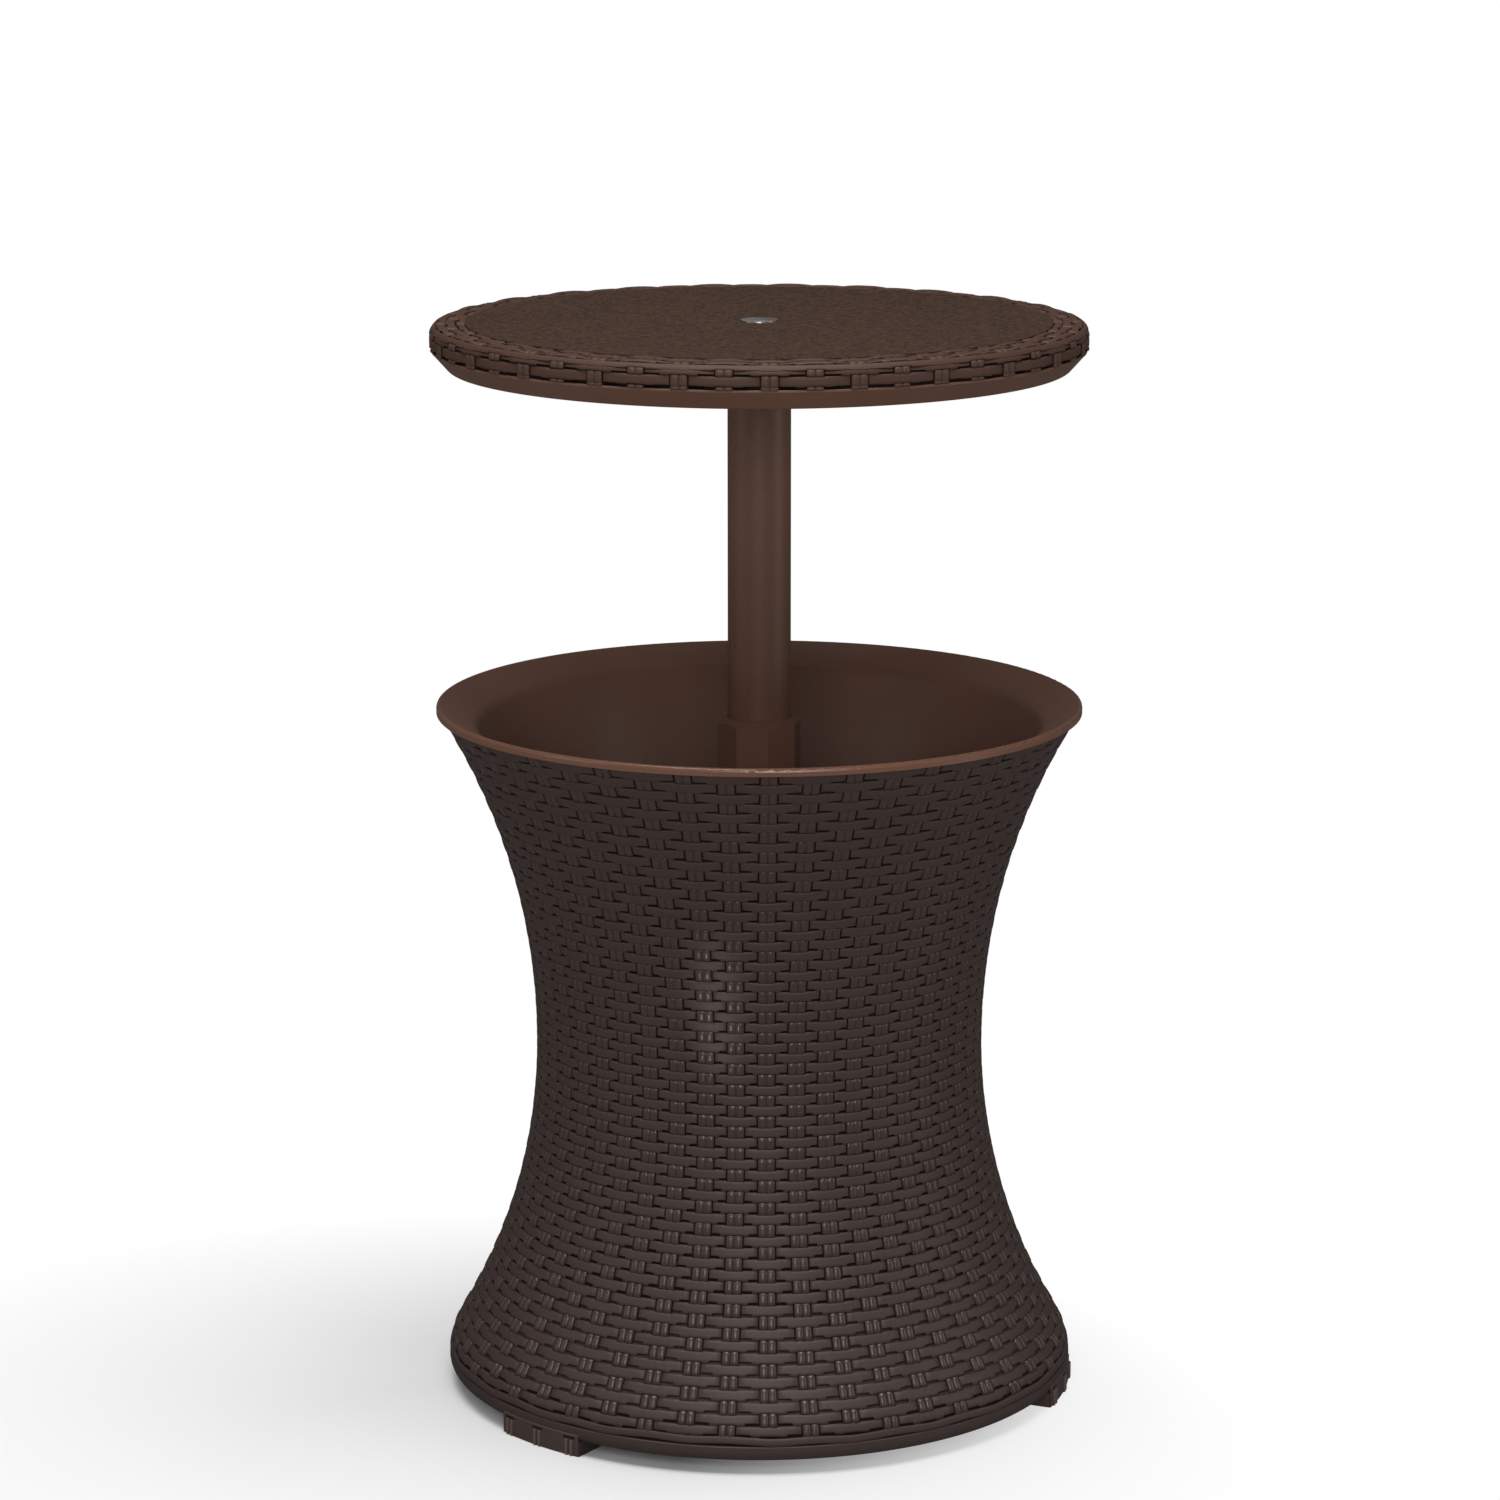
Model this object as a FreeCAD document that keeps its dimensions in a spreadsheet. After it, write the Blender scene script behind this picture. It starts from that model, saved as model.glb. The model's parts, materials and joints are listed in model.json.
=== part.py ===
import FreeCAD, Part
import math
import os

import Sketcher

# Cooler table with lid: an hourglass body with a tub for ice, and a round
# table top on a sliding post that is also the tub's lid.
# Frame: origin on the floor under the middle, +Z up, front towards -Y.
# The model stands as it is used: table top up, collar locked, drain closed.

FEET = 3
COLLAR_FACES = 8
BASE_SCREWS = 6
FLANGE_SCREWS = 4
PAN_SCREWS = 8
STAKES = 48

SIZES = {
    # body
    "foot_height": 11.5,
    "foot_depth": 26,
    "foot_arc": 19.2,
    "foot_inset": 1,
    "first_foot": 346.7,
    "body_height": 517.3,
    "waist_height": 260.3,
    "waist_radius": 172,
    "shell_top_radius": 243.2,
    "skirt_height": 32,
    "skirt_flare": 7,
    "base_radius": 242.6,
    "base_round": 6.3,
    "base_bend": 1.25,
    "shell_wall": 3,
    "weave_rise": 17.9,
    "weave_depth": 1.4,
    "first_stake": 271.7,
    "stake_arc": 3.7,
    # base plate and what fastens it
    "plate_thickness": 3,
    "plate_gap": 1,
    "socket_height": 24,
    "socket_wall": 4,
    "base_screw_inset": 15.1,
    "base_screw_boss": 8,
    "base_screw_length": 18,
    "hole_spare": 1,
    # tub
    "tub_wall": 3,
    "tub_gap": 19,
    "tub_floor_drop": 17,
    "tub_floor_round": 14,
    "lip_overhang": 2.8,
    "lip_height": 5.8,
    "lip_round": 2.6,
    "rim_gap": 1,
    "mouth_drop": 12.8,
    "mouth_round": 6,
    "mouth_bend": 2.35,
    # post and guide tube
    "post_radius": 24,
    "post_wall": 2.2,
    "running_gap": 0.06,
    "bush_wall": 1.5,
    "tube_wall": 2.4,
    "tube_flange": 42,
    "gasket_inset": 2,
    "tube_flange_thickness": 4,
    "groove_width": 6,
    "groove_depth": 1,
    "groove_spare": 2,
    "gasket_thickness": 2.5,
    "nut_width": 39,
    "nut_height": 11,
    "bush_length": 45,
    "glide_length": 50,
    "glide_floor": 4,
    "key_gap": 0.1,
    "plug_height": 16,
    # collar
    "collar_wall": 1.6,
    "collar_height": 46,
    "collar_drop": 11.8,
    "collar_slope": 6,
    "collar_lip": 1.5,
    "collar_turned": 12,
    "collar_stands": 6,
    "clamp_height": 12,
    "clamp_thick": 3.2,
    "clamp_taper": 1.2,
    "clamp_slit": 2,
    "part_gap": 0.3,
    "cut_spare": 5,
    # table top
    "table_lift": 261.5,
    "pan_taper": 12,
    "pan_height": 15,
    "pan_wall": 3,
    "pan_lip": 1.5,
    "border_overhang": 1.5,
    "border_height": 19.5,
    "border_round": 9,
    "border_wall": 3.2,
    "border_foot": 2,
    "border_width": 26.9,
    "panel_thickness": 3.3,
    "panel_sink": 0.5,
    "panel_ledge": 6,
    "edge_gap": 0.3,
    "flange_radius": 60,
    "flange_thickness": 4,
    "flange_socket": 10,
    "flange_socket_wall": 3.5,
    "flange_screw_circle": 46,
    "flange_screw_stop": 0.5,
    "insert_length": 30,
    "pan_screw_inset": 46,
    "pan_screw_boss": 5,
    "pan_screw_length": 22,
    # screws and the middle bolt
    "screw_radius": 2,
    "screw_head": 4.2,
    "screw_head_height": 2.4,
    "screw_gap": 0.05,
    "bolt_radius": 4,
    "bolt_head": 6.5,
    "bolt_head_height": 3.2,
    "bolt_length": 30,
    "bolt_spare": 4,
    "washer_radius": 9,
    "washer_thickness": 1.5,
    "cap_radius": 14,
    "cap_thickness": 2,
    "cap_proud": 0.8,
    "middle_boss": 18,
    # drain
    "drain_clearance": 12,
    "drain_bore": 12,
    "drain_wall": 3,
    "drain_flange": 21,
    "drain_flange_thickness": 2.5,
    "drain_length": 20,
    "drain_nut_width": 21,
    "drain_nut_height": 7,
    "stopper_gap": 0.35,
    "stopper_length": 14,
    "stopper_head": 17,
    "stopper_head_height": 3,
    "knob_radius": 6,
    "knob_height": 12,
    "knob_waist": 2.5,
    "seal_width": 2.5,
    "seal_depth": 1.5,
}

# Places and sizes that follow from the driving ones
FOLLOWS = {
    # body
    "base_z": "=foot_height",
    "shell_top_z": "=base_z + body_height",
    "waist_z": "=base_z + waist_height",
    "skirt_z": "=base_z + skirt_height",
    "base_round_z": "=base_z + base_round",
    "base_edge_radius": "=base_radius - base_round / 2",
    "skirt_radius": "=base_radius - skirt_flare",
    "top_rise": "=shell_top_z - waist_z",
    "top_flare": "=shell_top_radius - waist_radius",
    "top_arc": "=(top_rise ^ 2 + top_flare ^ 2) / (2 * top_flare)",
    "low_drop": "=waist_z - skirt_z",
    "low_flare": "=skirt_radius - waist_radius",
    "low_arc": "=(low_drop ^ 2 + low_flare ^ 2) / (2 * low_flare)",
    "top_arc_inside": "=top_arc + shell_wall",
    "low_arc_inside": "=low_arc + shell_wall",
    "skirt_rise": "=skirt_height - base_round",
    "skirt_in": "=base_radius - skirt_radius",
    "skirt_arc": "=(skirt_rise ^ 2 + skirt_in ^ 2) / (2 * skirt_in)",
    "base_round_arc": "=base_bend * base_round",
    "base_lip_radius": "=base_edge_radius - shell_wall",
    "waist_inside": "=waist_radius - shell_wall",
    "shell_top_inside": "=waist_radius + top_arc - sqrt(top_arc_inside ^ 2 - top_rise ^ 2)",
    "skirt_inside": "=waist_radius + low_arc - sqrt(low_arc_inside ^ 2 - low_drop ^ 2)",
    "base_inside": "=base_radius - shell_wall",
    # hollows between the upright stakes of the weave
    "weave_z": "=base_z + weave_rise",
    "first_hollow": f"=first_stake + 180 / {STAKES}",
    "hollow_arc": f"=360 / {STAKES} - stake_arc",
    "hollow_skirt_arc": "=skirt_arc - weave_depth",
    "hollow_low_arc": "=low_arc + weave_depth",
    "hollow_top_arc": "=top_arc + weave_depth",
    "hollow_rise": "=weave_z - base_round_z",
    "hollow_foot": "=base_radius - skirt_arc + sqrt(hollow_skirt_arc ^ 2 - hollow_rise ^ 2)",
    "hollow_skirt": "=waist_radius + low_arc - sqrt(hollow_low_arc ^ 2 - low_drop ^ 2)",
    "hollow_waist": "=waist_radius - weave_depth",
    "hollow_top": "=waist_radius + top_arc - sqrt(hollow_top_arc ^ 2 - top_rise ^ 2)",
    "hollow_clear": "=shell_top_radius + cut_spare",
    # base plate
    "plate_top_z": "=base_z + plate_thickness",
    "plate_radius": "=base_edge_radius - shell_wall - plate_gap",
    "socket_top_z": "=plate_top_z + socket_height",
    "socket_bore": "=tube_radius + screw_gap",
    "socket_radius": "=socket_bore + socket_wall",
    "base_hole_length": "=base_screw_length + hole_spare",
    "base_screw_circle": "=base_radius - base_screw_inset",
    "foot_radius": "=base_radius - foot_inset",
    "foot_back_radius": "=base_edge_radius - foot_depth",
    "base_head_z": "=base_z - screw_head_height",
    "screw_hole": "=screw_radius + screw_gap",
    # tub
    "lip_top_z": "=shell_top_z + lip_height",
    "lip_radius": "=shell_top_radius + lip_overhang",
    "lip_round_z": "=lip_top_z - lip_round",
    "lip_round_radius": "=lip_radius - lip_round",
    "mouth_z": "=lip_top_z - mouth_drop",
    "tub_floor_z": "=waist_z - tub_floor_drop",
    "tub_under_z": "=tub_floor_z - tub_wall",
    "tub_arc": "=top_arc + tub_gap",
    "tub_arc_outside": "=tub_arc - tub_wall",
    "tub_radius": "=waist_radius - tub_gap",
    "tub_outside": "=tub_radius + tub_wall",
    "mouth_wall_z": "=mouth_z - mouth_round",
    "mouth_wall_radius": "=waist_radius + top_arc - sqrt(tub_arc ^ 2 - (mouth_wall_z - waist_z) ^ 2)",
    "mouth_edge_radius": "=mouth_wall_radius + mouth_round",
    "mouth_arc": "=mouth_round * mouth_bend",
    "slope": "=(lip_top_z - mouth_z) / (lip_round_radius - mouth_edge_radius)",
    "under_wall_z": "=mouth_wall_z - tub_wall",
    "under_rise": "=under_wall_z - waist_z",
    "under_wall_radius": "=waist_radius + top_arc - sqrt(tub_arc_outside ^ 2 - under_rise ^ 2)",
    "under_edge_radius": "=shell_top_inside - rim_gap",
    "under_drop": "=(lip_round_radius - under_edge_radius) * slope",
    "under_edge_z": "=lip_top_z - under_drop - tub_wall * sqrt(1 + slope ^ 2)",
    "tub_floor_round_z": "=tub_floor_z + tub_floor_round",
    "tub_floor_flat": "=tub_radius - tub_floor_round",
    "tub_round_outside": "=tub_floor_round + tub_wall",
    # guide tube
    "tube_bore": "=post_radius + bush_wall",
    "tube_radius": "=tube_bore + tube_wall",
    "tube_top_z": "=collar_top_z - collar_stands - clamp_height - part_gap",
    "tube_hole": "=tube_radius + screw_gap",
    "flange_z": "=tub_floor_z + gasket_thickness",
    "flange_top_z": "=flange_z + tube_flange_thickness",
    "gasket_radius": "=tube_flange - gasket_inset",
    "nut_z": "=tub_under_z - nut_height",
    "bush_z": "=tube_top_z - bush_length",
    "bush_bore": "=post_radius + running_gap",
    "glide_top_z": "=bush_z - part_gap",
    "glide_z": "=glide_top_z - glide_length",
    "glide_radius": "=tube_bore - running_gap",
    "key_radius": "=tube_bore + groove_depth - key_gap",
    "groove_radius": "=tube_bore + groove_depth",
    "key_width": "=groove_width - 2 * key_gap",
    "glide_floor_z": "=glide_z + glide_floor",
    "groove_length": "=glide_top_z - plug_top_z + groove_spare",
    "plug_top_z": "=plate_top_z + plug_height",
    "tie_hole": "=bolt_radius + screw_gap",
    "tie_washer_z": "=base_z - washer_thickness",
    "tie_head_z": "=tie_washer_z - bolt_head_height",
    "tie_length": "=washer_thickness + plate_thickness + plug_height - bolt_spare",
    # collar
    "collar_radius": f"=(collar_skirt_bore + collar_wall) / cos(180 / {COLLAR_FACES})",
    "collar_top_z": "=lip_top_z - collar_drop",
    "collar_shoulder_z": "=collar_top_z - collar_slope",
    "collar_z": "=collar_top_z - collar_height",
    "collar_ceiling_z": "=collar_top_z - collar_stands",
    "collar_bore": "=post_radius + part_gap",
    "collar_skirt_bore": "=tube_radius + running_gap",
    "collar_cone_low": "=clamp_low + part_gap",
    "collar_cone_high": "=clamp_high + part_gap",
    "collar_step_z": "=tube_top_z + part_gap",
    "collar_clear_radius": "=collar_radius + cut_spare",
    "collar_clear_z": "=collar_top_z + cut_spare",
    "collar_under_z": "=collar_z - cut_spare",
    "collar_rim": "=post_radius + collar_lip",
    "clamp_low": "=bush_bore + clamp_thick",
    "clamp_high": "=clamp_low - clamp_taper",
    "clamp_top_z": "=tube_top_z + clamp_height",
    "slit_low_z": "=tube_top_z - cut_spare",
    "slit_high_z": "=clamp_top_z + cut_spare",
    # table top
    "pan_radius": "=lip_radius",
    "pan_bottom_radius": "=pan_radius - pan_taper",
    "pan_screw_circle": "=pan_radius - pan_screw_inset",
    "border_radius": "=pan_radius + border_overhang",
    "panel_radius": "=border_radius - border_width",
    "rest_z": "=lip_top_z - (lip_round_radius - pan_bottom_radius) * slope",
    "pan_z": "=rest_z + part_gap + table_lift",
    "pan_floor_z": "=pan_z + pan_wall",
    "pan_top_z": "=pan_z + pan_height",
    "pan_inside_low": "=pan_bottom_radius - pan_wall / 2",
    "pan_inside_top": "=pan_radius - pan_wall",
    "pan_lip_z": "=pan_top_z - pan_lip",
    "post_hole": "=post_radius + screw_gap",
    "border_top_z": "=pan_top_z + border_height",
    "border_round_z": "=border_top_z - border_round",
    "border_round_radius": "=border_radius - border_round",
    "border_inside": "=border_radius - border_wall",
    "border_inside_round": "=border_round - border_wall",
    "border_ceiling_z": "=border_top_z - border_wall",
    "ledge_radius": "=panel_radius - panel_ledge",
    "panel_z": "=border_top_z - panel_thickness - panel_sink",
    "panel_top_z": "=panel_z + panel_thickness",
    "ledge_z": "=panel_z - border_wall",
    "ledge_outside": "=panel_radius + border_wall",
    "panel_edge": "=panel_radius - edge_gap",
    "panel_boss_height": "=panel_z - pan_floor_z",
    "border_foot_z": "=pan_top_z + border_foot",
    "flange_disc_top_z": "=pan_floor_z + flange_thickness",
    "post_top_z": "=flange_disc_top_z + flange_socket",
    "socket_outer": "=post_radius + flange_socket_wall",
    "flange_head_z": "=flange_disc_top_z",
    "flange_screw_z": "=pan_z + flange_screw_stop",
    "flange_screw_length": "=flange_disc_top_z - flange_screw_z",
    "post_bore": "=post_radius - post_wall",
    "insert_z": "=post_top_z - insert_length",
    "pan_head_z": "=pan_z - screw_head_height",
    # middle of the panel
    "cap_top_z": "=panel_top_z + cap_proud",
    "cap_z": "=cap_top_z - cap_thickness",
    "recess_radius": "=cap_radius + edge_gap",
    "bolt_head_z": "=cap_z - bolt_head_height",
    "washer_z": "=bolt_head_z - washer_thickness",
    "bolt_z": "=bolt_head_z - bolt_length",
    "bolt_hole": "=bolt_radius + screw_gap",
    # drain
    "drain_offset": "=tub_floor_flat - drain_flange - drain_clearance",
    "drain_outside": "=drain_bore + drain_wall",
    "drain_hole": "=drain_outside + screw_gap",
    "drain_top_z": "=tub_floor_z + drain_flange_thickness",
    "drain_low_z": "=drain_top_z - drain_length",
    "drain_gasket_z": "=tub_under_z - gasket_thickness",
    "drain_nut_z": "=drain_gasket_z - drain_nut_height",
    "stopper_radius": "=drain_bore - stopper_gap",
    "stopper_z": "=drain_top_z - stopper_length",
    "stopper_head_z": "=drain_top_z + part_gap",
    "stopper_top_z": "=stopper_head_z + stopper_head_height",
    "knob_top_z": "=stopper_top_z + knob_height",
    "knob_neck": "=knob_radius - knob_waist",
    "knob_low_z": "=stopper_top_z + knob_height / 2",
    "seal_z": "=drain_top_z - stopper_length / 2",
    "seal_top_z": "=seal_z + seal_width",
    "seal_inside": "=stopper_radius - seal_depth",
    "seal_outside": "=drain_bore - running_gap",
}

doc = FreeCAD.newDocument("CoolerTable")
sheet = doc.addObject("Spreadsheet::Sheet", "Sizes")


def fill_sheet():
    rows = list(SIZES.items()) + list(FOLLOWS.items())
    for row, (name, size) in enumerate(rows, 1):
        sheet.set(f"A{row}", name)
        sheet.setAlias(f"B{row}", name)
    for row, (name, size) in enumerate(rows, 1):
        sheet.set(f"B{row}", str(size))
    doc.recompute()


def value(name):
    return float(sheet.get(name))


def plane(body, role):
    for feature in body.Origin.OriginFeatures:
        if feature.Role == role:
            return feature
    raise RuntimeError("no plane " + role)


def new_body(label):
    body = doc.addObject("PartDesign::Body", label)
    body.Label = label
    body.AllowCompound = True
    return body


def new_sketch(body, name, role, height=None):
    sketch = body.newObject("Sketcher::SketchObject", f"{body.Name}_{name}")
    sketch.AttachmentSupport = [(plane(body, role), "")]
    sketch.MapMode = "FlatFace"
    if height:
        sketch.setExpression("AttachmentOffset.Base.z", f"Sizes.{height}")
    return sketch


def fix(sketch, kind, size, *where):
    """Adds a constraint and ties it to a size of the sheet."""
    index = sketch.addConstraint(Sketcher.Constraint(kind, *where, value(size)))
    sketch.setExpression(f"Constraints[{index}]", f"Sizes.{size}")


def place(sketch, geometry, point, across, along):
    """Holds a point of the sketch at two sizes from the origin, or on an axis."""
    if across:
        fix(sketch, "DistanceX", across, -1, 1, geometry, point)
    else:
        sketch.addConstraint(Sketcher.Constraint("PointOnObject", geometry, point, -2))
    if along:
        fix(sketch, "DistanceY", along, -1, 1, geometry, point)
    else:
        sketch.addConstraint(Sketcher.Constraint("PointOnObject", geometry, point, -1))


def arc_between(first, last, radius, side):
    """The short arc from first to last; its centre is on the left for side 1."""
    half = (last - first) * 0.5
    rise = math.sqrt(max(radius ** 2 - half.Length ** 2, 0))
    left = FreeCAD.Vector(-half.y, half.x, 0).normalize()
    centre = first + half + left * (rise * side)
    circle = Part.Circle(centre, FreeCAD.Vector(0, 0, 1), radius)
    ends = [first, last] if side > 0 else [last, first]
    angles = [math.atan2(end.y - centre.y, end.x - centre.x) for end in ends]
    if angles[1] < angles[0]:
        angles[1] += 2 * math.pi
    return Part.ArcOfCircle(circle, angles[0], angles[1])


def outline(sketch, corners):
    """Draws a closed outline. A corner is (across, along), and the stretch that
    leaves it is an arc where the corner goes on with (radius, side)."""
    spots = []
    for corner in corners:
        across = value(corner[0]) if corner[0] else 0
        along = value(corner[1]) if corner[1] else 0
        spots.append(FreeCAD.Vector(across, along, 0))
    ends = []
    for number, corner in enumerate(corners):
        first = spots[number]
        last = spots[(number + 1) % len(spots)]
        if len(corner) > 2:
            curve = arc_between(first, last, value(corner[2]), corner[3])
            index = sketch.addGeometry(curve)
            ends.append((index, 1, 2) if corner[3] > 0 else (index, 2, 1))
        else:
            index = sketch.addGeometry(Part.LineSegment(first, last))
            ends.append((index, 1, 2))
    for number, (index, start, end) in enumerate(ends):
        after, after_start, after_end = ends[(number + 1) % len(ends)]
        sketch.addConstraint(Sketcher.Constraint("Coincident", index, end, after, after_start))
    for number, (index, start, end) in enumerate(ends):
        corner = corners[number]
        place(sketch, index, start, corner[0], corner[1])
        if len(corner) > 2:
            fix(sketch, "Radius", corner[2], index)


def ring(inside, outside, low, high):
    """Corners of a plain ring, or of a disc where inside is None."""
    return [(inside, low), (outside, low), (outside, high), (inside, high)]


def turned(body, name, corners, cut=False):
    """Turns an outline about the upright axis, to add to a body or cut from it."""
    sketch = new_sketch(body, name, "XZ_Plane")
    outline(sketch, corners)
    kind = "PartDesign::Groove" if cut else "PartDesign::Revolution"
    feature = body.newObject(kind, f"{body.Name}_{name}_turned")
    feature.Profile = sketch
    feature.ReferenceAxis = (sketch, ["V_Axis"])
    feature.Angle = 360
    doc.recompute()
    return feature


def circle(sketch, radius, across=None, along=None):
    centre = FreeCAD.Vector(value(across) if across else 0, value(along) if along else 0, 0)
    index = sketch.addGeometry(Part.Circle(centre, FreeCAD.Vector(0, 0, 1), value(radius)))
    if across or along:
        place(sketch, index, 3, across, along)
    else:
        sketch.addConstraint(Sketcher.Constraint("Coincident", index, 3, -1, 1))
    fix(sketch, "Radius", radius, index)


def padded(body, sketch, length):
    feature = body.newObject("PartDesign::Pad", sketch.Name + "_pad")
    feature.Profile = sketch
    feature.setExpression("Length", f"Sizes.{length}")
    doc.recompute()
    return feature


def drilled(body, sketch, length=None):
    """Cuts upwards from the sketch, to a length or right through."""
    feature = body.newObject("PartDesign::Pocket", sketch.Name + "_cut")
    feature.Profile = sketch
    feature.Reversed = True
    if length:
        feature.setExpression("Length", f"Sizes.{length}")
    else:
        feature.Type = "ThroughAll"
    before = body.Shape.Volume
    doc.recompute()
    if feature.Shape.Volume > before - 1:
        raise RuntimeError(sketch.Name + " cuts nothing")
    return feature


def round_again(body, features, count):
    """Repeats features evenly round the upright axis."""
    pattern = body.newObject("PartDesign::PolarPattern", features[-1].Name + "_round")
    pattern.Originals = features
    pattern.Axis = (plane(body, "Z_Axis"), [""])
    pattern.Angle = 360
    pattern.Occurrences = count
    body.Tip = pattern
    doc.recompute()
    return pattern


def polygon(sketch, radius, faces, turn):
    """A regular outline with its corners on a circle."""
    points = []
    for number in range(faces):
        angle = math.radians(turn + 360 * number / faces)
        spot = FreeCAD.Vector(math.cos(angle), math.sin(angle), 0)
        points.append(spot * value(radius))
    guide = sketch.addGeometry(
        Part.Circle(FreeCAD.Vector(), FreeCAD.Vector(0, 0, 1), value(radius)), True
    )
    sketch.addConstraint(Sketcher.Constraint("Coincident", guide, 3, -1, 1))
    fix(sketch, "Radius", radius, guide)
    sides = []
    for number in range(faces):
        line = Part.LineSegment(points[number], points[(number + 1) % faces])
        sides.append(sketch.addGeometry(line))
    for number, side in enumerate(sides):
        after = sides[(number + 1) % faces]
        sketch.addConstraint(Sketcher.Constraint("Coincident", side, 2, after, 1))
        sketch.addConstraint(Sketcher.Constraint("PointOnObject", side, 1, guide))
        if number:
            sketch.addConstraint(Sketcher.Constraint("Equal", sides[0], side))
    lean = math.radians(turn + 90 + 180 / faces)
    sketch.addConstraint(Sketcher.Constraint("Angle", sides[0], lean))


def screws(label, across, head_z, length, count, shank_z):
    """A ring of separate screws: flat heads and plain shanks."""
    body = new_body(label)
    head = new_sketch(body, "head", "XY_Plane", head_z)
    circle(head, "screw_head", across)
    heads = padded(body, head, "screw_head_height")
    shank = new_sketch(body, "shank", "XY_Plane", shank_z)
    circle(shank, "screw_radius", across)
    shanks = padded(body, shank, length)
    round_again(body, [heads, shanks], count)
    return body


def make_body_shell():
    body = new_body("body_shell")
    turned(body, "wall", [
        ("base_edge_radius", "base_z", "base_round_arc", 1),
        ("base_radius", "base_round_z", "skirt_arc", 1),
        ("skirt_radius", "skirt_z", "low_arc", -1),
        ("waist_radius", "waist_z", "top_arc", -1),
        ("shell_top_radius", "shell_top_z"),
        ("shell_top_inside", "shell_top_z", "top_arc_inside", 1),
        ("waist_inside", "waist_z", "low_arc_inside", 1),
        ("skirt_inside", "skirt_z"),
        ("base_inside", "base_round_z"),
        ("base_lip_radius", "base_z"),
    ])
    boss = new_sketch(body, "boss", "XY_Plane", "plate_top_z")
    circle(boss, "base_screw_boss", "base_screw_circle")
    bosses = padded(body, boss, "skirt_rise")
    round_again(body, [bosses], BASE_SCREWS)
    hole = new_sketch(body, "hole", "XY_Plane", "base_z")
    circle(hole, "screw_hole", "base_screw_circle")
    holes = drilled(body, hole, "base_hole_length")
    round_again(body, [holes], BASE_SCREWS)
    make_hollows(body)
    return body


def make_hollows(body):
    """Sinks the wall between the upright stakes, so that the stakes stand out."""
    sketch = new_sketch(body, "hollow", "XZ_Plane")
    outline(sketch, [
        ("hollow_foot", "weave_z", "hollow_skirt_arc", 1),
        ("hollow_skirt", "skirt_z", "hollow_low_arc", -1),
        ("hollow_waist", "waist_z", "hollow_top_arc", -1),
        ("hollow_top", "shell_top_z"),
        ("hollow_clear", "shell_top_z"),
        ("hollow_clear", "weave_z"),
    ])
    upright = FreeCAD.Rotation(FreeCAD.Vector(0, 1, 0), 1)
    sketch.AttachmentOffset = FreeCAD.Placement(FreeCAD.Vector(), upright)
    sketch.setExpression("AttachmentOffset.Rotation.Angle", "Sizes.first_hollow * 1deg")
    groove = body.newObject("PartDesign::Groove", f"{body.Name}_hollow_turned")
    groove.Profile = sketch
    groove.ReferenceAxis = (sketch, ["V_Axis"])
    groove.Midplane = True
    groove.setExpression("Angle", "Sizes.hollow_arc * 1deg")
    before = body.Shape.Volume
    doc.recompute()
    if groove.Shape.Volume > before - 1:
        raise RuntimeError("the hollow cuts nothing")
    round_again(body, [groove], STAKES)


def foot_outline(sketch):
    """One foot seen from above: a sector between two arcs, even about +X."""
    half = math.radians(value("foot_arc") / 2)
    outer = value("foot_radius")
    inner = value("foot_back_radius")
    centre = FreeCAD.Vector()
    upright = FreeCAD.Vector(0, 0, 1)
    arcs = []
    for radius in (outer, inner):
        arc = Part.ArcOfCircle(Part.Circle(centre, upright, radius), -half, half)
        arcs.append(sketch.addGeometry(arc))
    for arc, size in zip(arcs, ("foot_radius", "foot_back_radius")):
        sketch.addConstraint(Sketcher.Constraint("Coincident", arc, 3, -1, 1))
        fix(sketch, "Radius", size, arc)
    for end, turn in ((1, -half), (2, half)):
        ray = FreeCAD.Vector(math.cos(turn), math.sin(turn), 0)
        side = sketch.addGeometry(Part.LineSegment(ray * inner, ray * outer))
        sketch.addConstraint(Sketcher.Constraint("Coincident", side, 1, arcs[1], end))
        sketch.addConstraint(Sketcher.Constraint("Coincident", side, 2, arcs[0], end))
        sketch.addConstraint(Sketcher.Constraint("PointOnObject", -1, 1, side))
        if end == 1:
            sketch.addConstraint(
                Sketcher.Constraint("Symmetric", arcs[0], 1, arcs[0], 2, -1)
            )
    angle = sketch.addConstraint(
        Sketcher.Constraint("Angle", arcs[0], 2 * half)
    )
    sketch.setExpression(f"Constraints[{angle}]", "Sizes.foot_arc * 1deg")


def make_base_plate():
    body = new_body("base_plate")
    turned(body, "disc", ring(None, "plate_radius", "base_z", "plate_top_z"))
    turned(body, "socket", ring("socket_bore", "socket_radius", "plate_top_z", "socket_top_z"))
    foot = new_sketch(body, "foot", "XY_Plane")
    foot_outline(foot)
    foot.setExpression("AttachmentOffset.Rotation.Angle", "Sizes.first_foot * 1deg")
    feet = padded(body, foot, "base_z")
    round_again(body, [feet], FEET)
    hole = new_sketch(body, "hole", "XY_Plane", "base_z")
    circle(hole, "screw_hole", "base_screw_circle")
    holes = drilled(body, hole, "plate_thickness")
    round_again(body, [holes], BASE_SCREWS)
    middle = new_sketch(body, "middle", "XY_Plane", "base_z")
    circle(middle, "tie_hole")
    drilled(body, middle, "plate_thickness")
    drain = new_sketch(body, "drain", "XY_Plane", "base_z")
    circle(drain, "drain_outside", "drain_offset")
    drilled(body, drain, "plate_thickness")
    return body


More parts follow.
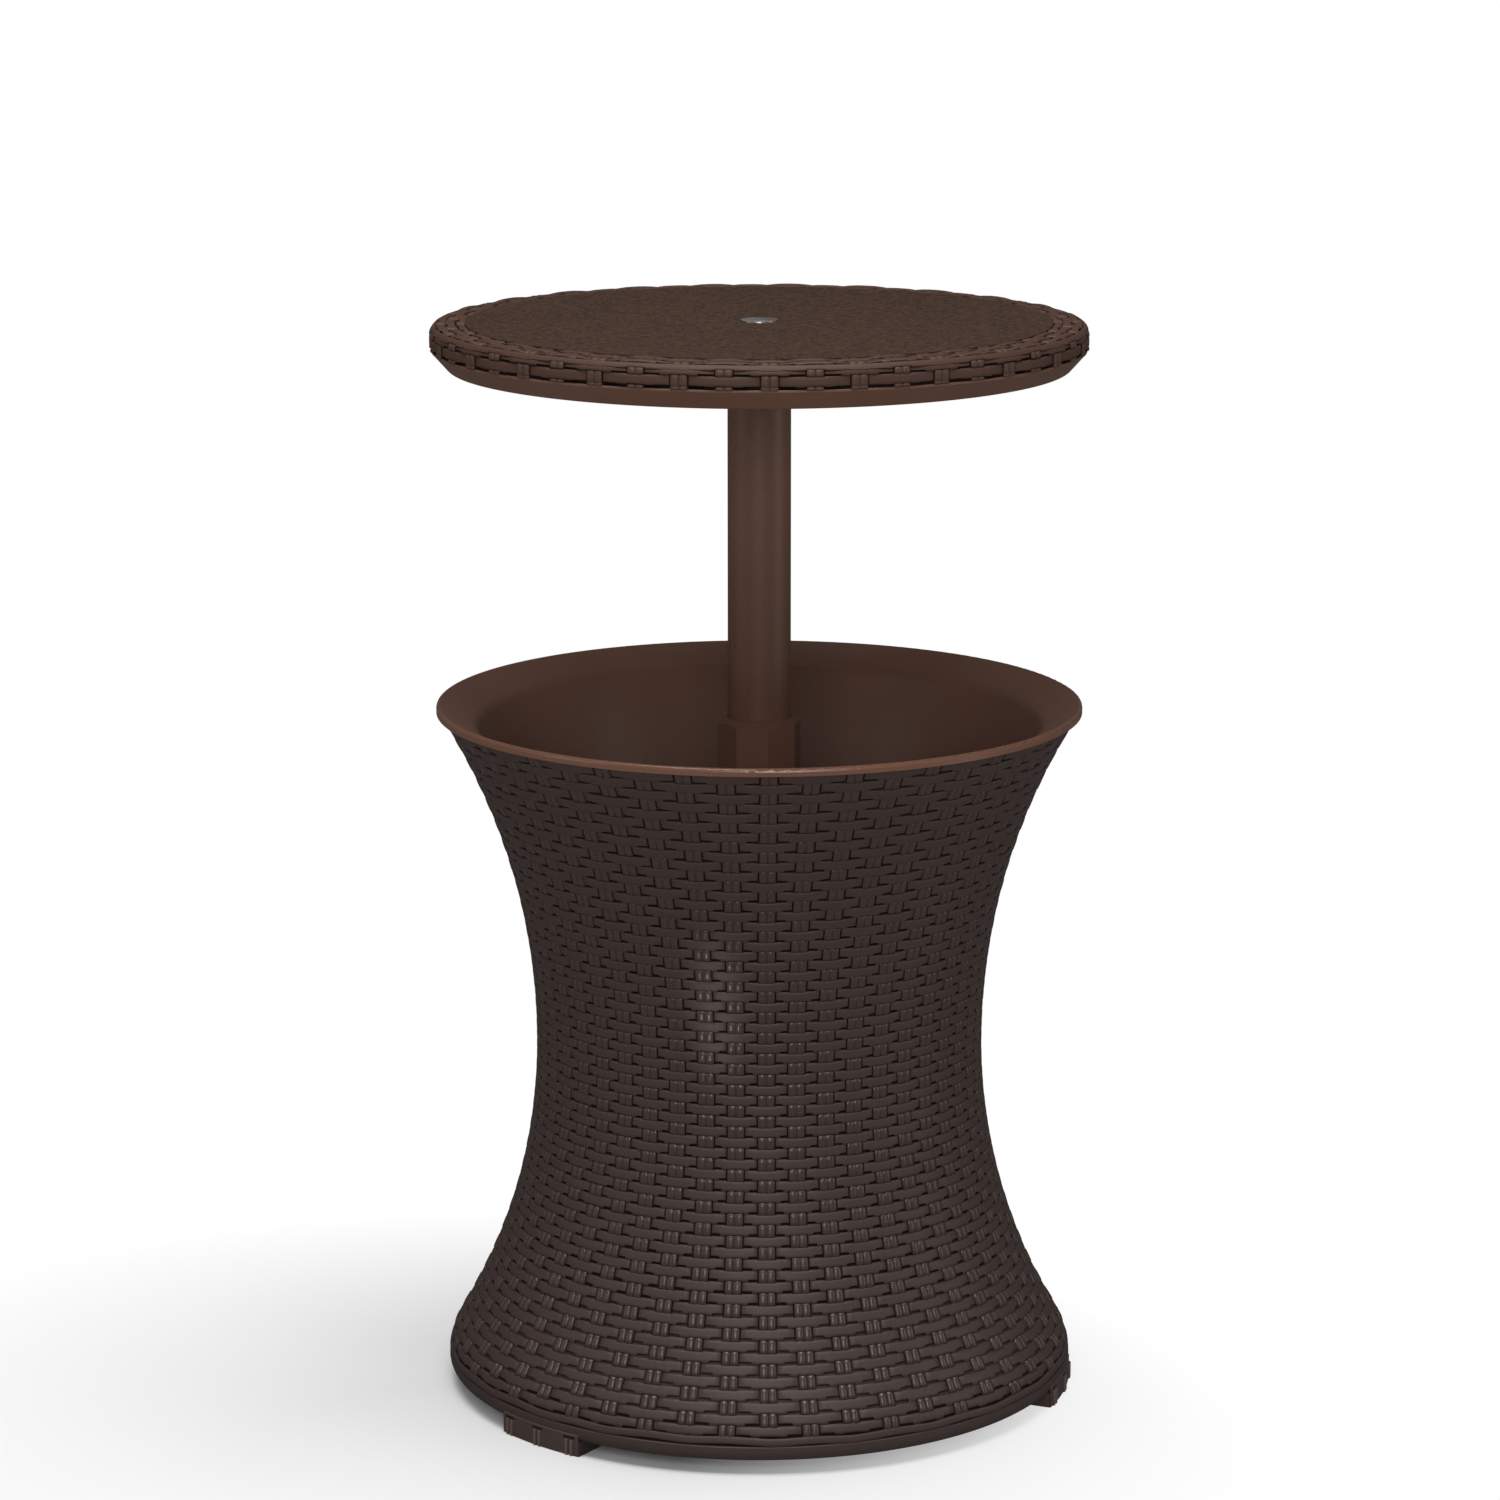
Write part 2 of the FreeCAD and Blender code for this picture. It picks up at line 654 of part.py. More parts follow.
def make_tub():
    body = new_body("tub")
    turned(body, "wall", [
        ("tube_hole", "tub_under_z"),
        ("tub_floor_flat", "tub_under_z", "tub_round_outside", 1),
        ("tub_outside", "tub_floor_round_z"),
        ("tub_outside", "waist_z", "tub_arc_outside", -1),
        ("under_wall_radius", "under_wall_z"),
        ("under_edge_radius", "under_edge_z"),
        ("under_edge_radius", "shell_top_z"),
        ("lip_radius", "shell_top_z"),
        ("lip_radius", "lip_round_z", "lip_round", 1),
        ("lip_round_radius", "lip_top_z"),
        ("mouth_edge_radius", "mouth_z", "mouth_arc", 1),
        ("mouth_wall_radius", "mouth_wall_z", "tub_arc", 1),
        ("tub_radius", "waist_z"),
        ("tub_radius", "tub_floor_round_z", "tub_floor_round", -1),
        ("tub_floor_flat", "tub_floor_z"),
        ("tube_hole", "tub_floor_z"),
    ])
    drain = new_sketch(body, "drain", "XY_Plane", "tub_under_z")
    circle(drain, "drain_hole", "drain_offset")
    drilled(body, drain, "tub_wall")
    return body


def key_outline(sketch, radius, width):
    """A bar across the middle, wide as a key, long enough to reach the radius."""
    reach = value(radius)
    half = value(width) / 2
    corners = [(-reach, -half), (reach, -half), (reach, half), (-reach, half)]
    spots = [FreeCAD.Vector(across, along, 0) for across, along in corners]
    sides = []
    for number in range(4):
        line = Part.LineSegment(spots[number], spots[(number + 1) % 4])
        sides.append(sketch.addGeometry(line))
    for number in range(4):
        after = sides[(number + 1) % 4]
        sketch.addConstraint(Sketcher.Constraint("Coincident", sides[number], 2, after, 1))
    for side in (sides[0], sides[2]):
        sketch.addConstraint(Sketcher.Constraint("Horizontal", side))
    for side in (sides[1], sides[3]):
        sketch.addConstraint(Sketcher.Constraint("Vertical", side))
    sketch.addConstraint(Sketcher.Constraint("Symmetric", sides[0], 1, sides[1], 2, -1, 1))
    fix(sketch, "DistanceX", radius, -1, 1, sides[1], 1)
    across = sketch.addConstraint(
        Sketcher.Constraint("DistanceY", sides[1], 1, sides[1], 2, 2 * half)
    )
    sketch.setExpression(f"Constraints[{across}]", f"Sizes.{width}")


def make_guide_tube():
    body = new_body("guide_tube")
    turned(body, "tube", ring("tube_bore", "tube_radius", "plate_top_z", "tube_top_z"))
    turned(body, "flange", ring("tube_bore", "tube_flange", "flange_z", "flange_top_z"))
    groove = new_sketch(body, "groove", "XY_Plane", "plug_top_z")
    key_outline(groove, "groove_radius", "groove_width")
    drilled(body, groove, "groove_length")
    return body


def make_ring(label, inside, outside, low, high):
    body = new_body(label)
    turned(body, "ring", ring(inside, outside, low, high))
    return body


def make_nut(label, bore, width, low, height, across=None):
    """A six-sided nut round an upright axis."""
    body = new_body(label)
    outside = new_sketch(body, "outside", "XY_Plane", low)
    polygon(outside, width, 6, 0)
    padded(body, outside, height)
    hole = new_sketch(body, "hole", "XY_Plane", low)
    circle(hole, bore)
    drilled(body, hole, height)
    if across:
        body.setExpression("Placement.Base.x", f"Sizes.{across}")
    return body


def make_clamp_ring():
    body = new_body("clamp_ring")
    turned(body, "cone", [
        ("bush_bore", "tube_top_z"),
        ("clamp_low", "tube_top_z"),
        ("clamp_high", "clamp_top_z"),
        ("bush_bore", "clamp_top_z"),
    ])
    slit = new_sketch(body, "slit", "XZ_Plane")
    outline(slit, [
        (None, "slit_low_z"),
        ("collar_radius", "slit_low_z"),
        ("collar_radius", "slit_high_z"),
        (None, "slit_high_z"),
    ])
    cut = body.newObject("PartDesign::Pocket", "clamp_slit_cut")
    cut.Profile = slit
    cut.setExpression("Length", "Sizes.clamp_slit")
    cut.Midplane = True
    before = body.Shape.Volume
    doc.recompute()
    if cut.Shape.Volume > before - 1:
        raise RuntimeError("the clamp ring has no slit")
    return body


def make_lock_collar():
    """An eight-sided collar whose top slopes down from the post to its corners."""
    body = new_body("lock_collar")
    outside = new_sketch(body, "outside", "XY_Plane", "collar_z")
    polygon(outside, "collar_radius", COLLAR_FACES, value("collar_turned"))
    padded(body, outside, "collar_height")
    turned(body, "slope", [
        ("collar_rim", "collar_top_z"),
        ("collar_radius", "collar_shoulder_z"),
        ("collar_clear_radius", "collar_shoulder_z"),
        ("collar_clear_radius", "collar_clear_z"),
        ("collar_rim", "collar_clear_z"),
    ], cut=True)
    turned(body, "inside", [
        (None, "collar_under_z"),
        ("collar_skirt_bore", "collar_under_z"),
        ("collar_skirt_bore", "collar_step_z"),
        ("collar_cone_low", "collar_step_z"),
        ("collar_cone_high", "collar_ceiling_z"),
        ("collar_bore", "collar_ceiling_z"),
        ("collar_bore", "collar_clear_z"),
        (None, "collar_clear_z"),
    ], cut=True)
    return body


def make_post_glide():
    """Sleeve on the post's lower end, with two keys for the tube's grooves."""
    body = new_body("post_glide")
    bar = new_sketch(body, "keys", "XY_Plane", "glide_z")
    key_outline(bar, "key_radius", "key_width")
    padded(body, bar, "glide_length")
    turned(body, "sleeve", ring(None, "glide_radius", "glide_z", "glide_top_z"))
    turned(body, "bore", ring(None, "post_hole", "glide_floor_z", "glide_top_z"), cut=True)
    return body


def make_table_pan():
    body = new_body("table_pan")
    turned(body, "dish", [
        ("post_hole", "pan_z"),
        ("pan_bottom_radius", "pan_z"),
        ("pan_radius", "pan_lip_z"),
        ("pan_radius", "pan_top_z"),
        ("pan_inside_top", "pan_top_z"),
        ("pan_inside_top", "pan_lip_z"),
        ("pan_inside_low", "pan_floor_z"),
        ("post_hole", "pan_floor_z"),
    ])
    for name, across, count in (
        ("edge", "pan_screw_circle", PAN_SCREWS),
        ("middle", "flange_screw_circle", FLANGE_SCREWS),
    ):
        hole = new_sketch(body, name, "XY_Plane", "pan_z")
        circle(hole, "screw_hole", across)
        holes = drilled(body, hole, "pan_wall")
        round_again(body, [holes], count)
    return body


def make_woven_border():
    body = new_body("woven_border")
    turned(body, "ring", [
        ("pan_inside_top", "pan_top_z"),
        ("border_radius", "pan_top_z"),
        ("border_radius", "border_round_z", "border_round", 1),
        ("border_round_radius", "border_top_z"),
        ("panel_radius", "border_top_z"),
        ("panel_radius", "panel_z"),
        ("ledge_radius", "panel_z"),
        ("ledge_radius", "ledge_z"),
        ("ledge_outside", "ledge_z"),
        ("ledge_outside", "border_ceiling_z"),
        ("border_round_radius", "border_ceiling_z", "border_inside_round", -1),
        ("border_inside", "border_round_z"),
        ("border_inside", "border_foot_z"),
        ("pan_inside_top", "border_foot_z"),
    ])
    return body


def make_top_panel():
    body = new_body("top_panel")
    turned(body, "disc", ring(None, "panel_edge", "panel_z", "panel_top_z"))
    boss = new_sketch(body, "boss", "XY_Plane", "pan_floor_z")
    circle(boss, "pan_screw_boss", "pan_screw_circle")
    bosses = padded(body, boss, "panel_boss_height")
    round_again(body, [bosses], PAN_SCREWS)
    turned(body, "middle", ring(None, "middle_boss", "post_top_z", "panel_z"))
    turned(body, "recess", ring(None, "recess_radius", "washer_z", "panel_top_z"), cut=True)
    hole = new_sketch(body, "hole", "XY_Plane", "pan_z")
    circle(hole, "screw_hole", "pan_screw_circle")
    holes = drilled(body, hole, "pan_screw_length")
    round_again(body, [holes], PAN_SCREWS)
    middle = new_sketch(body, "through", "XY_Plane", "post_top_z")
    circle(middle, "bolt_hole")
    drilled(body, middle)
    return body


def make_post_flange():
    body = new_body("post_flange")
    turned(body, "disc", ring("post_hole", "flange_radius", "pan_floor_z", "flange_disc_top_z"))
    turned(body, "socket", ring("post_hole", "socket_outer", "flange_disc_top_z", "post_top_z"))
    hole = new_sketch(body, "hole", "XY_Plane", "pan_floor_z")
    circle(hole, "screw_hole", "flange_screw_circle")
    holes = drilled(body, hole, "flange_thickness")
    round_again(body, [holes], FLANGE_SCREWS)
    return body


def make_bolt(label, head_z, shank_z, length):
    body = new_body(label)
    head = new_sketch(body, "head", "XY_Plane", head_z)
    polygon(head, "bolt_head", 6, 0)
    padded(body, head, "bolt_head_height")
    shank = new_sketch(body, "shank", "XY_Plane", shank_z)
    circle(shank, "bolt_radius")
    padded(body, shank, length)
    return body


def make_drain_plug():
    """Stopper with a groove for its seal, a head and a waisted knob to pull."""
    body = new_body("drain_plug")
    turned(body, "stopper", [
        (None, "stopper_z"),
        ("stopper_radius", "stopper_z"),
        ("stopper_radius", "seal_z"),
        ("seal_inside", "seal_z"),
        ("seal_inside", "seal_top_z"),
        ("stopper_radius", "seal_top_z"),
        ("stopper_radius", "stopper_head_z"),
        ("stopper_head", "stopper_head_z"),
        ("stopper_head", "stopper_top_z"),
        ("knob_neck", "stopper_top_z"),
        ("knob_neck", "knob_low_z"),
        ("knob_radius", "knob_low_z"),
        ("knob_radius", "knob_top_z"),
        (None, "knob_top_z"),
    ])
    return body


def make_drain_seat():
    body = new_body("drain_seat")
    turned(body, "ring", [
        ("drain_bore", "drain_low_z"),
        ("drain_outside", "drain_low_z"),
        ("drain_outside", "tub_floor_z"),
        ("drain_flange", "tub_floor_z"),
        ("drain_flange", "drain_top_z"),
        ("drain_bore", "drain_top_z"),
    ])
    return body


def at_drain(body):
    body.setExpression("Placement.Base.x", "Sizes.drain_offset")
    return body


def make_drain():
    gasket = make_ring(
        "drain_gasket", "drain_hole", "drain_flange", "drain_gasket_z", "tub_under_z"
    )
    seal = make_ring("plug_seal", "seal_inside", "seal_outside", "seal_z", "seal_top_z")
    nut = make_nut(
        "drain_nut", "drain_hole", "drain_nut_width", "drain_nut_z", "drain_nut_height"
    )
    pieces = [make_drain_seat(), gasket, nut, make_drain_plug(), seal]
    return [at_drain(piece) for piece in pieces]


def make_fixed_middle():
    end_plug = make_ring("end_plug", "bolt_hole", "tube_bore", "plate_top_z", "plug_top_z")
    gasket = make_ring("guide_gasket", "tube_hole", "gasket_radius", "tub_floor_z", "flange_z")
    bush = make_ring("slide_bush", "bush_bore", "tube_bore", "bush_z", "tube_top_z")
    washer = make_ring("tie_washer", "bolt_hole", "washer_radius", "tie_washer_z", "base_z")
    nut = make_nut("guide_nut", "tube_hole", "nut_width", "nut_z", "nut_height")
    bolt = make_bolt("tie_bolt", "tie_head_z", "tie_washer_z", "tie_length")
    return [make_guide_tube(), end_plug, gasket, bush, washer, nut, bolt]


def make_table():
    post = make_ring("post", "post_bore", "post_radius", "glide_floor_z", "post_top_z")
    insert = make_ring("post_insert", "bolt_hole", "post_bore", "insert_z", "post_top_z")
    washer = make_ring("bolt_washer", "bolt_hole", "washer_radius", "washer_z", "bolt_head_z")
    cap = make_ring("centre_cap", None, "cap_radius", "cap_z", "cap_top_z")
    bolt = make_bolt("centre_bolt", "bolt_head_z", "bolt_z", "bolt_length")
    flange_screws = screws(
        "flange_screws", "flange_screw_circle", "flange_head_z",
        "flange_screw_length", FLANGE_SCREWS, "flange_screw_z",
    )
    pan_screws = screws(
        "pan_screws", "pan_screw_circle", "pan_head_z",
        "pan_screw_length", PAN_SCREWS, "pan_z",
    )
    return [
        post, make_post_glide(), make_post_flange(), flange_screws, insert,
        make_table_pan(), make_woven_border(), make_top_panel(), pan_screws,
        bolt, washer, cap,
    ]


def make_base():
    base_screws = screws(
        "base_screws", "base_screw_circle", "base_head_z",
        "base_screw_length", BASE_SCREWS, "base_z",
    )
    return [make_body_shell(), make_base_plate(), base_screws, make_tub()]


def check(pieces):
    doc.recompute()
    for thing in doc.Objects:
        if "Invalid" in thing.State or "Error" in thing.State:
            raise RuntimeError(f"{thing.Label}: {thing.State}")
    for piece in pieces:
        if piece.Shape.isNull() or not piece.Shape.isValid():
            raise RuntimeError(f"{piece.Label} has no valid shape")


def write(pieces):
    os.makedirs("parts", exist_ok=True)
    for piece in pieces:
        piece.Shape.exportStep(f"parts/{piece.Label}.step")
        print(piece.Label, len(piece.Shape.Solids), round(piece.Shape.Volume / 1000, 1))


fill_sheet()
pieces = make_base() + make_fixed_middle() + [make_clamp_ring(), make_lock_collar()]
pieces += make_table() + make_drain()
check(pieces)
write(pieces)
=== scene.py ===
import json
import math

import bmesh
import bpy
import numpy as np
from bpy.props import FloatProperty, FloatVectorProperty, IntProperty, PointerProperty
from mathutils import Matrix, Vector


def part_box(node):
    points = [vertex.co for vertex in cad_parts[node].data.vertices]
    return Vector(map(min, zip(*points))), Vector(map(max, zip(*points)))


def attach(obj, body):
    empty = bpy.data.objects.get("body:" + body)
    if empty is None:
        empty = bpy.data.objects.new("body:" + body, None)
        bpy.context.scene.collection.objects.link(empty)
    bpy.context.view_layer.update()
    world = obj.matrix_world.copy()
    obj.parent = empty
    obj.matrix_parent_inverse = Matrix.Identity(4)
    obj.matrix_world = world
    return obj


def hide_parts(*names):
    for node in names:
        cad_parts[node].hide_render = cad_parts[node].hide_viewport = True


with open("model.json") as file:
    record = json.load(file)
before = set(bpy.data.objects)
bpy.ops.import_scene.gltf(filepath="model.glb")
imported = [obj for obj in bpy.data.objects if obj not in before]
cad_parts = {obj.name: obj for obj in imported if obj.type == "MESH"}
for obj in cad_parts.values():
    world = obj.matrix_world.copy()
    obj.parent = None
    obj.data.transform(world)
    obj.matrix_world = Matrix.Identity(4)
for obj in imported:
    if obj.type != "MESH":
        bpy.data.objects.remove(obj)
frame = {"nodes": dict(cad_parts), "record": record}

bl_info = {
    "name": "Woven Cooler Table",
    "version": (1, 0, 0),
    "blender": (4, 5, 0),
    "location": "View3D > Sidebar > Cooler",
    "description": "Dresses the packed cooler table with its woven shell, smooth parts and stage",
    "category": "Object",
}

MM = 0.001
DEGREE = math.pi / 180
NODES = frame["nodes"]
# Measured before the finer pieces are made
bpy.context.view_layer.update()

# Lowest and highest level of the nodes that get finer pieces, in millimetres
SHELL_LOW, SHELL_HIGH = (corner.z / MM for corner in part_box("body_shell"))
BORDER_LOW, BORDER_HIGH = (corner.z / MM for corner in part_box("woven_border"))
PAN_LOW, PAN_HIGH = (corner.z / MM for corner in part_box("table_pan"))
POST_LOW, POST_HIGH = (corner.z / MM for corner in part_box("post"))

# Outer radii of the solids, which the finer pieces keep to, in millimetres
BASE_RADIUS = 242.6
SKIRT_RADIUS = 235.6
WAIST_RADIUS = 172.0
SHELL_TOP_RADIUS = 243.2
BORDER_RADIUS = 247.5
PANEL_RADIUS = 220.6
PAN_RADIUS = 246.0
POST_RADIUS = 24.0

# Levels of the body's round foot, skirt and waist above its lowest one, and radii of two arcs
BASE_ROUND = 6.3
SKIRT_RISE = 32.0
WAIST_RISE = 260.3
BASE_ARC = 7.9
SKIRT_ARC = 50.7

# A stake's two round strands, from its middle outwards: (distance, drop) in millimetres
STRANDS = [(0.0, 1.05), (0.45, 0.66), (1.4, 0.14), (3.2, 0.0), (5.0, 0.22), (6.0, 0.9), (6.5, 2.2)]
# Columns of points in the gap between two stakes, and from one stake to the next
GAP_COLUMNS = 6
PERIOD_COLUMNS = 2 * len(STRANDS) - 1 + GAP_COLUMNS
# What a row goes over, where that isn't every other stake
EVERY, BARE = "every", "bare"
# The plain cylinder on which the strands' fine lines lie, in millimetres
PLAIN_RADIUS = 200.0
# Share of painted shade, which darkens the weave towards near-black, on the plain wall behind it
WALL_SHADE = 0.3


class WeaveSizes(bpy.types.PropertyGroup):
    stakes: IntProperty(
        name="Stakes", description="Uprights round the body, each of two strands", default=48, min=8
    )
    first_stake: FloatProperty(
        name="First stake", description="Angle of one stake from the front, towards +X",
        default=1.7 * DEGREE, subtype="ANGLE", unit="ROTATION",
    )
    row_pitch: FloatProperty(
        name="Row pitch", description="Height of one woven row, in millimetres", default=8.046, min=1
    )
    first_row: FloatProperty(
        name="First row", default=21.9,
        description="Height of the lowest row's middle above the shell's foot, in millimetres",
    )
    rows: IntProperty(name="Rows", description="Woven rows of the body", default=62, min=1)
    first_foot: FloatProperty(
        name="First foot", description="Angle of one foot's middle from the front, towards +X",
        default=-43.3 * DEGREE, subtype="ANGLE", unit="ROTATION",
    )
    relief: FloatProperty(
        name="Relief", description="Scale of the weave's depth", default=1.0, min=0, subtype="FACTOR"
    )


class Finishes(bpy.types.PropertyGroup):
    woven: FloatVectorProperty(
        name="Woven brown", description="Colour of the body's weave",
        default=(0.0361, 0.0211, 0.0173), subtype="COLOR", min=0, max=1,
    )
    border: FloatVectorProperty(
        name="Border brown", description="Colour of the weave round the table top",
        default=(0.045, 0.0222, 0.0152), subtype="COLOR", min=0, max=1,
    )
    # Painted lighter than the plastic's own brown, to light the post in the table top's shade; the pan
    # takes a darker copy
    smooth: FloatVectorProperty(
        name="Smooth brown", description="Colour of rim, pan, post and collar",
        default=(0.0915, 0.0438, 0.0288), subtype="COLOR", min=0, max=1,
    )
    panel: FloatVectorProperty(
        name="Panel brown", description="Colour of the table's panel",
        default=(0.0236, 0.0124, 0.0079), subtype="COLOR", min=0, max=1,
    )
    floor: FloatVectorProperty(
        name="Floor", description="Colour of the floor",
        default=(0.7, 0.7, 0.7), subtype="COLOR", min=0, max=1,
    )


class StageSizes(bpy.types.PropertyGroup):
    distance: FloatProperty(
        name="Camera distance", description="From the camera to the post", default=3.6, unit="LENGTH"
    )
    height: FloatProperty(
        name="Camera height", description="Above the floor", default=1.2695, unit="LENGTH"
    )
    pitch: FloatProperty(
        name="Camera pitch", description="How far the camera looks down",
        default=12.13 * DEGREE, subtype="ANGLE", unit="ROTATION",
    )
    lens: FloatProperty(name="Lens", description="Focal length in millimetres", default=115.6)


def sizes():
    return bpy.context.scene.cooler_weave


def finishes():
    return bpy.context.scene.cooler_finishes


# Materials


FINISH = "finish_"
# How much lighter than the woven brown the stakes and the ribs of the feet are painted: a painted sheen
# on the stakes, a painted highlight on the ribs
STAKE_SHEEN_TINT = (1.12, 1.2, 1.24)
RIB_HIGHLIGHT_TINT = (2.6, 2.9, 3.0)
NYLON_WHITE = (0.60, 0.57, 0.50)
RUBBER_BLACK = (0.018, 0.018, 0.018)
ZINC_GREY = (0.55, 0.55, 0.53)
SILVER = (0.72, 0.72, 0.72)
WHITE = (1, 1, 1, 1)
# Distance from the axis, in metres, from which the tub's rim is worn smooth
RIM_EDGE = 0.243


class Tree:
    """A node tree, with short ways to add nodes and fill their inputs."""

    def __init__(self, tree):
        self.tree = tree

    def add(self, kind, **settings):
        node = self.tree.nodes.new("ShaderNode" + kind)
        for name, setting in settings.items():
            setattr(node, name, setting)
        return node

    def join(self, out, into):
        self.tree.links.new(out, into)

    def fill(self, node, values):
        """Fills inputs of a node, given by name or number, with sockets or plain values."""
        for name, value in values.items():
            if isinstance(value, bpy.types.NodeSocket):
                self.join(value, node.inputs[name])
            else:
                node.inputs[name].default_value = value
        return node


class Nodes(Tree):
    """A material's nodes, which end in its shader."""

    def __init__(self, name, roughness, specular=0.5):
        self.material = bpy.data.materials.new(FINISH + name)
        self.material.use_nodes = True
        super().__init__(self.material.node_tree)
        self.shader = self.tree.nodes["Principled BSDF"]
        self.fill(self.shader, {"Roughness": roughness, "Specular IOR Level": specular})

    def shaded(self, colour, rough, normal):
        """The material, with these three joined to its shader."""
        self.fill(self.shader, {"Base Color": colour, "Roughness": rough, "Normal": normal})
        return self.material

    def place(self, scale, source=None):
        """Object coordinates, or a named attribute, stretched by a scale."""
        if source:
            vector = self.add("Attribute", attribute_name=source).outputs["Vector"]
        else:
            vector = self.add("TexCoord").outputs["Object"]
        return self.fill(self.add("Mapping"), {"Vector": vector, "Scale": scale}).outputs["Vector"]

    def attribute(self, name):
        return self.add("Attribute", attribute_name=name).outputs["Fac"]

    def noise(self, vector, scale, detail=2.0, roughness=0.5):
        values = {"Vector": vector, "Scale": scale, "Detail": detail, "Roughness": roughness}
        return self.fill(self.add("TexNoise"), values).outputs["Fac"]

    def skin(self, scale, detail=2.0, roughness=0.5):
        """Noise on Object coordinates, alike in every direction."""
        return self.noise(self.place((1, 1, 1)), scale, detail, roughness)

    def spread(self, value, low, high, out_low=0, out_high=1):
        """Stretches the range from low to high to the range from out_low to out_high."""
        values = {
            "Value": value, "From Min": low, "From Max": high, "To Min": out_low, "To Max": out_high,
        }
        return self.fill(self.add("MapRange"), values).outputs["Result"]

    def maths(self, operation, first, second):
        return self.fill(self.add("Math", operation=operation), {0: first, 1: second}).outputs["Value"]

    def mix(self, share, first, second):
        """Mixes two colours, each a colour or a socket."""
        node = self.add("Mix", data_type="RGBA")
        self.join(share, node.inputs["Factor"])
        for value, name in ((first, "A_Color"), (second, "B_Color")):
            socket = next(s for s in node.inputs if s.identifier == name)
            if isinstance(value, bpy.types.NodeSocket):
                self.join(value, socket)
            else:
                socket.default_value = (*value, 1)
        return next(s for s in node.outputs if s.identifier == "Result_Color")

    def tones(self, noise, colour, dark, light):
        """A colour that wanders between a darker and a lighter tone with a noise."""
        return self.mix(self.spread(noise, 0.3, 0.7), scaled(colour, dark), scaled(colour, light))

    def blend(self, share, first, second):
        """Mixes two values."""
        node = self.add("Mix", data_type="FLOAT")
        return self.fill(node, {0: share, 2: first, 3: second}).outputs[0]

    def bump(self, height, strength, distance, under=None):
        values = {"Height": height, "Strength": strength, "Distance": distance}
        if under:
            values["Normal"] = under
        return self.fill(self.add("Bump"), values).outputs["Normal"]


def scaled(colour, factor):
    return tuple(min(1, channel * factor) for channel in colour)


def woven_material(name, colour, specular=0.4, stake_gloss=0.24, stake_light_tint=STAKE_SHEEN_TINT):
    """Moulded strands: fine lines along each strand, painted shade in the gaps, glossier stakes painted
    lighter.
    """
    # How many of the fine lines lie across a metre of strand, and how often they change along it
    across, lengthwise = 2600, 45
    nodes = Nodes(name, 0.5, specular)
    along_rows = nodes.place((lengthwise, lengthwise, across), "weave_place")
    along_stakes = nodes.place((across, across, lengthwise), "weave_place")
    rows = nodes.noise(along_rows, 1.0, detail=3, roughness=0.6)
    stakes = nodes.noise(along_stakes, 1.0, detail=3, roughness=0.6)
    stake, hollow = nodes.attribute("stake"), nodes.attribute("hollow")
    lines = nodes.blend(stake, rows, stakes)
    cloud = nodes.skin(9.0, detail=4, roughness=0.6)
    grain = nodes.skin(900.0)
    lined = nodes.tones(lines, colour, dark=0.88, light=1.13)
    clouded = nodes.tones(cloud, colour, dark=0.93, light=1.06)
    strand = nodes.mix(nodes.spread(grain, 0.4, 0.6, 0.3, 0.6), lined, clouded)
    stake_lit_colour = tuple(channel * share for channel, share in zip(colour, stake_light_tint))
    # Painted sheen: stakes, and the crowns of the foot ribs, are mixed towards a lighter copy of the
    # brown
    strand = nodes.mix(nodes.spread(stake, 0, 1, 0, 0.6), strand, stake_lit_colour)
    # Painted shade: the hollow share darkens the strands towards near-black in gaps, slots and creases
    mixed = nodes.mix(nodes.spread(hollow, 0.04, 0.5), strand, scaled(colour, 0.08))
    gloss = nodes.spread(stake, 0, 1, 0, -stake_gloss)
    rough = nodes.maths("ADD", nodes.spread(lines, 0.25, 0.75, 0.5, 0.6), gloss)
    rough = nodes.maths("ADD", rough, nodes.spread(hollow, 0.0, 0.8, 0, 0.4))
    ridges = nodes.bump(lines, strength=0.14, distance=0.25 * MM)
    return nodes.shaded(mixed, rough, nodes.bump(grain, strength=0.12, distance=0.2 * MM, under=ridges))


def smooth_material(name, colour, roughness=0.4, grain_scale=700.0, grain=0.3, polished_from=None):
    """Moulded plastic with a fine grained skin, worn smoother beyond a distance from the axis."""
    nodes = Nodes(name, roughness, 0.3)
    fine = nodes.skin(grain_scale, detail=3, roughness=0.6)
    cloud = nodes.skin(12.0, detail=3, roughness=0.55)
    base = nodes.tones(cloud, colour, dark=0.93, light=1.07)
    mixed = nodes.mix(nodes.spread(fine, 0.35, 0.65, 0, 0.35), base, scaled(colour, 1.25))
    rough = nodes.spread(fine, 0.3, 0.7, roughness - 0.05, roughness + 0.07)
    if polished_from:
        away = nodes.fill(nodes.add("VectorMath", operation="LENGTH"), {0: nodes.place((1, 1, 0))})
        polish = nodes.spread(away.outputs["Value"], polished_from, polished_from + MM, 0, -0.17)
        rough = nodes.maths("ADD", rough, polish)
    return nodes.shaded(mixed, rough, nodes.bump(fine, strength=grain, distance=0.3 * MM))


def panel_material():
    """Fine speckled grain of the table's panel."""
    colour = finishes().panel
    nodes = Nodes("panel_brown", 0.55, 0.12)
    fine = nodes.skin(340.0, detail=3, roughness=0.65)
    coarse = nodes.skin(150.0, detail=3, roughness=0.6)
    cloud = nodes.skin(14.0, detail=4, roughness=0.6)
    base = nodes.tones(cloud, colour, dark=0.92, light=1.1)
    speckle = nodes.mix(nodes.spread(fine, 0.42, 0.6, 0, 0.9), base, scaled(colour, 2.1))
    dark = nodes.spread(coarse, 0.33, 0.5, 0.5, 0)
    mixed = nodes.mix(dark, speckle, scaled(colour, 0.5))
    rough = nodes.spread(fine, 0.3, 0.7, 0.42, 0.6)
    return nodes.shaded(mixed, rough, nodes.bump(fine, strength=0.45, distance=0.3 * MM))


